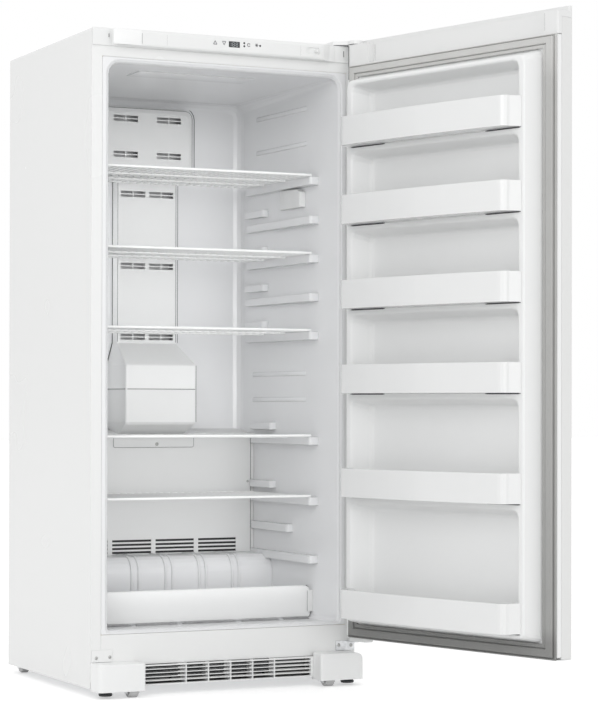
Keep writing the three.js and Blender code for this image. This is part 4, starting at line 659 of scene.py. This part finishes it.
def ceiling_panel(shape):
    """A shallow raised field in the ceiling, its edges sloping."""
    rings = []
    for inset, drop in ((0, -0.5), (5, 2.2), (9, 2.6), (60, 2.6)):
        x0, x1, y0, y1 = 170 + inset, 510 - inset, 100 + inset * 0.7, 190 - inset * 0.7
        corners = ((x0, y0), (x1, y0), (x1, y1), (x0, y1))
        rings.append([at(x, y, ceiling_z(y) - drop) for x, y in corners])
    add_rings(shape, rings)


add_piece("ceiling_field", mesh_of("ceiling_field", ceiling_panel), liner, "cabinet",
          20)


def round_loop(x0, x1, z0, z1, radius, y, steps=4):
    """Places round a rectangle with round corners in an upright plane."""
    spots = []
    for cx, cz, start in ((x1 - radius, z1 - radius, 0), (x0 + radius, z1 - radius, 90),
                          (x0 + radius, z0 + radius, 180), (x1 - radius, z0 + radius, 270)):
        for k in range(steps + 1):
            t = math.radians(start + 90 * k / steps)
            spots.append(at(cx + radius * math.cos(t), y, cz + radius * math.sin(t)))
    return spots + spots[:1]


UPPER_PANEL_FACE = 555.6
DUCT_FACE = 553.7
BACK_WALL, BACK_RECESS = 588.9, 589.6
HOUSING_JOINT = 792
COVER_TAB_FACE, COVER_FACE = 498.5, 499.6
seam_line("upper_panel_joint", round_loop(240.4, 519.6, 1396.4, 1589.6, 21, UPPER_PANEL_FACE), 0.5)
seam_line("upper_panel_recess", round_loop(219, 541, 1381, 1604, 33, BACK_RECESS), 0.9)
for side in (-1, 1):
    seam_line(f"middle_duct_edge_{side}",
              [at(CENTRE + side * 88.9, DUCT_FACE, z) for z in (926, 1390)], 0.5)
seam_line("middle_duct_joint", [at(288.9, BACK_WALL, z) for z in (924, 1390)], 0.6)
seam_line("middle_duct_recess", [at(490, BACK_RECESS, z) for z in (926, 1378)], 0.6)
seam_line("shoulder_joint",
          [at(x, BACK_WALL, z) for x, z in ((272, 668), (272, 862), (288.9, 924))], 0.9)
seam_line("housing_seam",
          [at(x, y, HOUSING_JOINT) for x, y in
           ((272.4, 586), (272.4, 450), (278.5, 443.9), (481.5, 443.9), (487.6, 450))], 0.9)
seam_line("housing_edge", [at(485.9, 445.6, z) for z in (700, 858)], 0.7)
seam_line("cover_tab_joint",
          [at(x, COVER_TAB_FACE, z) for x, z in
           ((258, 657), (258, 632), (260, 629), (264, 628), (496, 628), (500, 629), (502, 632),
            (502, 657))], 0.5)


def cover_plate(shape):
    """A strip of the same plastic over the joint along the cover's sloping top."""
    rings = []
    for x, inset in ((84, 3), (86, 0), (674, 0), (676, 3)):
        profile = ((511 + inset, 0.1), (511 + inset, 0.7), (513, 1.1), (556, 1.1),
                   (558 - inset, 0.7), (558 - inset, 0.1))
        rings.append([at(x, y, 662 + 18 * (y - 506) / 83 + up) for y, up in profile])
    add_rings(shape, rings)


GATE_GAP_DEPTH, CLIP_FACE = 160.6, 143.4
for name, y, spots, thick, body in (
        ("gate_gap_top", GATE_GAP_DEPTH, ((693.5, 253), (698.9, 247.5), (700.9, 241.5)), 1.2,
         "gate"),
        ("gate_gap_bottom", GATE_GAP_DEPTH, ((700.9, 182.5), (700.9, 176), (698.5, 171)), 1.2,
         "cabinet"),
        ("clip_edge", CLIP_FACE, ((688.9, 184), (688.9, 240)), 0.35, "cabinet")):
    seam_line(name, [at(x, y, z) for x, z in spots], thick, body)


GATE_SHADOW_BASE = 163.5


def gate_shadow_strip(shape):
    """A low grey strip on the floor under the gate, broken at its tabs: painted shadow, standing
    for the shade the gate casts there.
    """
    profile = ((133, -1, 0), (134, 0.6, 0), (146, 1.4, 1), (147.5, -1, 1))
    for x0, x1 in ((64, 168), (184, 300), (318, 470), (490, 600), (616, 690)):
        add_rings(shape, [[at(x, y, GATE_SHADOW_BASE + up + 1.5 * share) for y, up, share in profile]
                          for x in (x0, x0 + 1, x1 - 1, x1)])


# painted shadow: the grey strip on the floor stands for the shade under the lift gate
add_piece("gate_shadow_floor_strip", mesh_of("gate_shadow_floor_strip", gate_shadow_strip), gate_shadow_grey, "cabinet",
          30)
add_piece("cover_top_strip", mesh_of("cover_top_strip", cover_plate), cover_plastic, "cabinet",
          30)
seam_line("cover_joint",
          [at(681, y, z) for y, z in ((COVER_FACE, 332), (COVER_FACE, 652), (505.8, 660.6))], 0.6)
for i, (x, thick) in enumerate(((129, 0.4), (199, 0.12), (583.5, 0.12))):
    seam_line(f"fascia_joint_{i}", [at(x, FASCIA_FACE, 1677), at(x, FASCIA_FACE, 1704)], thick)


def dished_plate(name, x0, x1, y, z0, z1):
    """A thin dark upright sheet with its edges turned back, seen through slots in front of it:
    painted shade for the dark hollow behind the slots.
    """
    def build(shape):
        rings = []
        for inset, back in ((12, 1.2), (2, 1), (1, 2), (1, 9), (0, 9), (0, 2), (2, 0), (12, 0.4)):
            left, right, low, high = x0 + inset, x1 - inset, z0 + inset, z1 - inset
            corners = ((left, low), (right, low), (right, high), (left, high))
            rings.append([at(x, y + back, z) for x, z in corners])
        add_rings(shape, rings)
    return add_piece(name, mesh_of(name, build), black_plastic, "cabinet", 30)


# painted shade: a dark sheet behind the kick grille stands for the shade in the machine space
dished_plate("grille_painted_shade", 134, 626, 26, 38, 76)

# painted shade: dark screens close behind the grille's four upper rows, open at the right of each
# column, standing for the shade behind the grille
GRILLE_FOOT, GRILLE_PITCH = 33.94, 9.94
SCREEN_DEPTH = -11.4
SCREEN_PROFILE = ((0, -3.1), (-0.5, -2.8), (-0.5, 2.8), (0, 3.1), (0.5, 2.8), (0.5, -2.8))
GRILLE_COLUMNS = ((139.5, 238), (263.6, 316), (327.1, 368), (390.6, 443), (454.1, 499))
for column, (x0, x1) in enumerate(GRILLE_COLUMNS):
    def screens(shape):
        for row in range(4):
            z = GRILLE_FOOT + GRILLE_PITCH * (row + 0.5) + 7
            add_rings(shape, [[at(x, SCREEN_DEPTH + y, z + dz) for y, dz in SCREEN_PROFILE]
                              for x in (x0, x0 + 0.5, x1 - 3, x1)])
    add_piece(f"grille_shade_screen_{column + 1}", mesh_of("grille_shade_screen", screens), shade_screen_black,
              "cabinet", 30)
# painted shade: a dark sheet behind the return-air slots stands for the shade behind the evaporator
# cover
dished_plate("return_air_painted_shade", 110, 650, 506, 329, 372)

# ---------- door details ----------
# painted shade: a faint dark line at each edge of the top band's step, standing for the shade at
# the step
for tag, u, depth in (("free", 44, INNER_FACE + 0.1), ("hinge", 676, INNER_FACE - 21.9)):
    seam_line(f"top_band_step_shade_{tag}", [on_door(u, depth, z) for z in (1668, 1711)], 0.2, "door")
seam_line("hinge_gap", [on_door(755.5, INNER_FACE + 0.4, z) for z in (1622, 1712)], 1.0, "door")
BIN_BOTTOMS = (1431, 1224, 1001.5, 779, 507, 189.5)
RIM_PLANE = 46
# painted shadow: a thin dark strip under each end of a bin, standing for the shade in the gap
# between its hooks and the rim
for i, low in enumerate(BIN_BOTTOMS):
    for tag, u0, u1 in (("free", 69, 190), ("hinge", 552, 684)):
        def hook_shadow(shape):
            flat = [(-1.7, 0), (-1.1, 0.7), (1.1, 0.7), (1.7, 0)]
            rings = [[on_door(u, RIM_PLANE - 0.1 + b, low - 1.9 + a * thin) for a, b in flat]
                     for u, thin in ((u0, 0.3), (u0 + 8, 1), (u1 - 8, 1), (u1, 0.3))]
            add_rings(shape, rings)
        add_piece(f"hook_painted_shadow_{tag}_{i + 1}", mesh_of("hook_painted_shadow", hook_shadow), seam, "door",
                  40)


# ---------- surroundings ----------
def camera_only(tree, value):
    """A strength for the eye alone: value on camera, mirror and glass rays, 0 on all others."""
    path = tree.nodes.new("ShaderNodeLightPath")
    total = path.outputs["Is Camera Ray"]
    for key in ("Is Glossy Ray", "Is Transmission Ray"):
        add = tree.nodes.new("ShaderNodeMath")
        add.operation = "MAXIMUM"
        tree.links.new(total, add.inputs[0])
        tree.links.new(path.outputs[key], add.inputs[1])
        total = add.outputs[0]
    scale = tree.nodes.new("ShaderNodeMath")
    scale.operation = "MULTIPLY"
    scale.inputs[1].default_value = value
    tree.links.new(total, scale.inputs[0])
    return scale.outputs[0]


FLOOR_GLOW = 0.42


def set_floor():
    mesh = bpy.data.meshes.new("floor")
    reach = 40
    corners = [(-reach, -reach, 0), (reach, -reach, 0), (reach, reach, 0), (-reach, reach, 0)]
    mesh.from_pydata(corners, [], [(0, 1, 2, 3)])
    floor = bpy.data.objects.new("floor", mesh)
    bpy.context.scene.collection.objects.link(floor)
    look = Look("studio_floor")
    look.put(Roughness=0.7, Specular_IOR_Level=0.2)
    look.link(camera_only(look.tree, FLOOR_GLOW), look.shader.inputs["Emission Strength"])
    look.put(Emission_Color=(1, 1, 1, 1))
    tones = [(0.3, (0.80, 0.80, 0.80)), (0.7, (0.82, 0.82, 0.82))]
    look.finish(look.ramp(look.noise(0.6, 3), tones))
    mesh.materials.append(look.material)


WORLD_LEVEL = 0.9


def set_world():
    world = bpy.data.worlds.new("studio")
    bpy.context.scene.world = world
    world.use_nodes = True
    tree = world.node_tree
    tree.nodes.clear()
    shown = tree.nodes.new("ShaderNodeBackground")
    plus = tree.nodes.new("ShaderNodeMath")
    plus.operation = "ADD"
    plus.inputs[1].default_value = WORLD_LEVEL
    tree.links.new(camera_only(tree, 1 - WORLD_LEVEL), plus.inputs[0])
    shown.inputs["Color"].default_value = (1, 1, 1, 1)
    tree.links.new(plus.outputs[0], shown.inputs["Strength"])
    output = tree.nodes.new("ShaderNodeOutputWorld")
    tree.links.new(shown.outputs[0], output.inputs[0])


def soft_light(name, spot, aim, size, power):
    """A rectangular lamp at a spot, turned towards its aim."""
    data = bpy.data.lights.new(name, "AREA")
    data.shape = "RECTANGLE"
    data.size, data.size_y = size
    data.energy = power
    made = bpy.data.objects.new(name, data)
    bpy.context.scene.collection.objects.link(made)
    out = (Vector(spot) - Vector(aim)).normalized()
    made.matrix_world = Matrix.Translation(spot) @ out.to_track_quat("Z", "Y").to_matrix().to_4x4()
    return made


set_floor()
set_world()
soft_light("key", (-3.4, -4.2, 2.9), (0, 0, 0.8), (2.6, 2.6), 52)
soft_light("front", (0.6, -5.6, 1.6), (0, 0, 0.8), (2.2, 2.2), 19)
for name, spot, aim, size, power, spread in (
        ("inside_fill", (CENTRE, -10, 890), (CENTRE, 500, 890), (0.6, 1.3), 0.54, 36),
        ("duct_fill", (82, 566, 1157), (289, 566, 1157), (0.04, 0.42), 0.08, 90),
        ("housing_fill", (82, 515, 790), (272, 515, 790), (0.1, 0.2), 0.02, 90)):
    fill = soft_light(name, at(*spot), at(*aim), size, power)
    fill.data.spread = math.radians(spread)
    fill.visible_camera = False
    fill.visible_glossy = name == "inside_fill"
bpy.context.scene.view_settings.view_transform = "Standard"
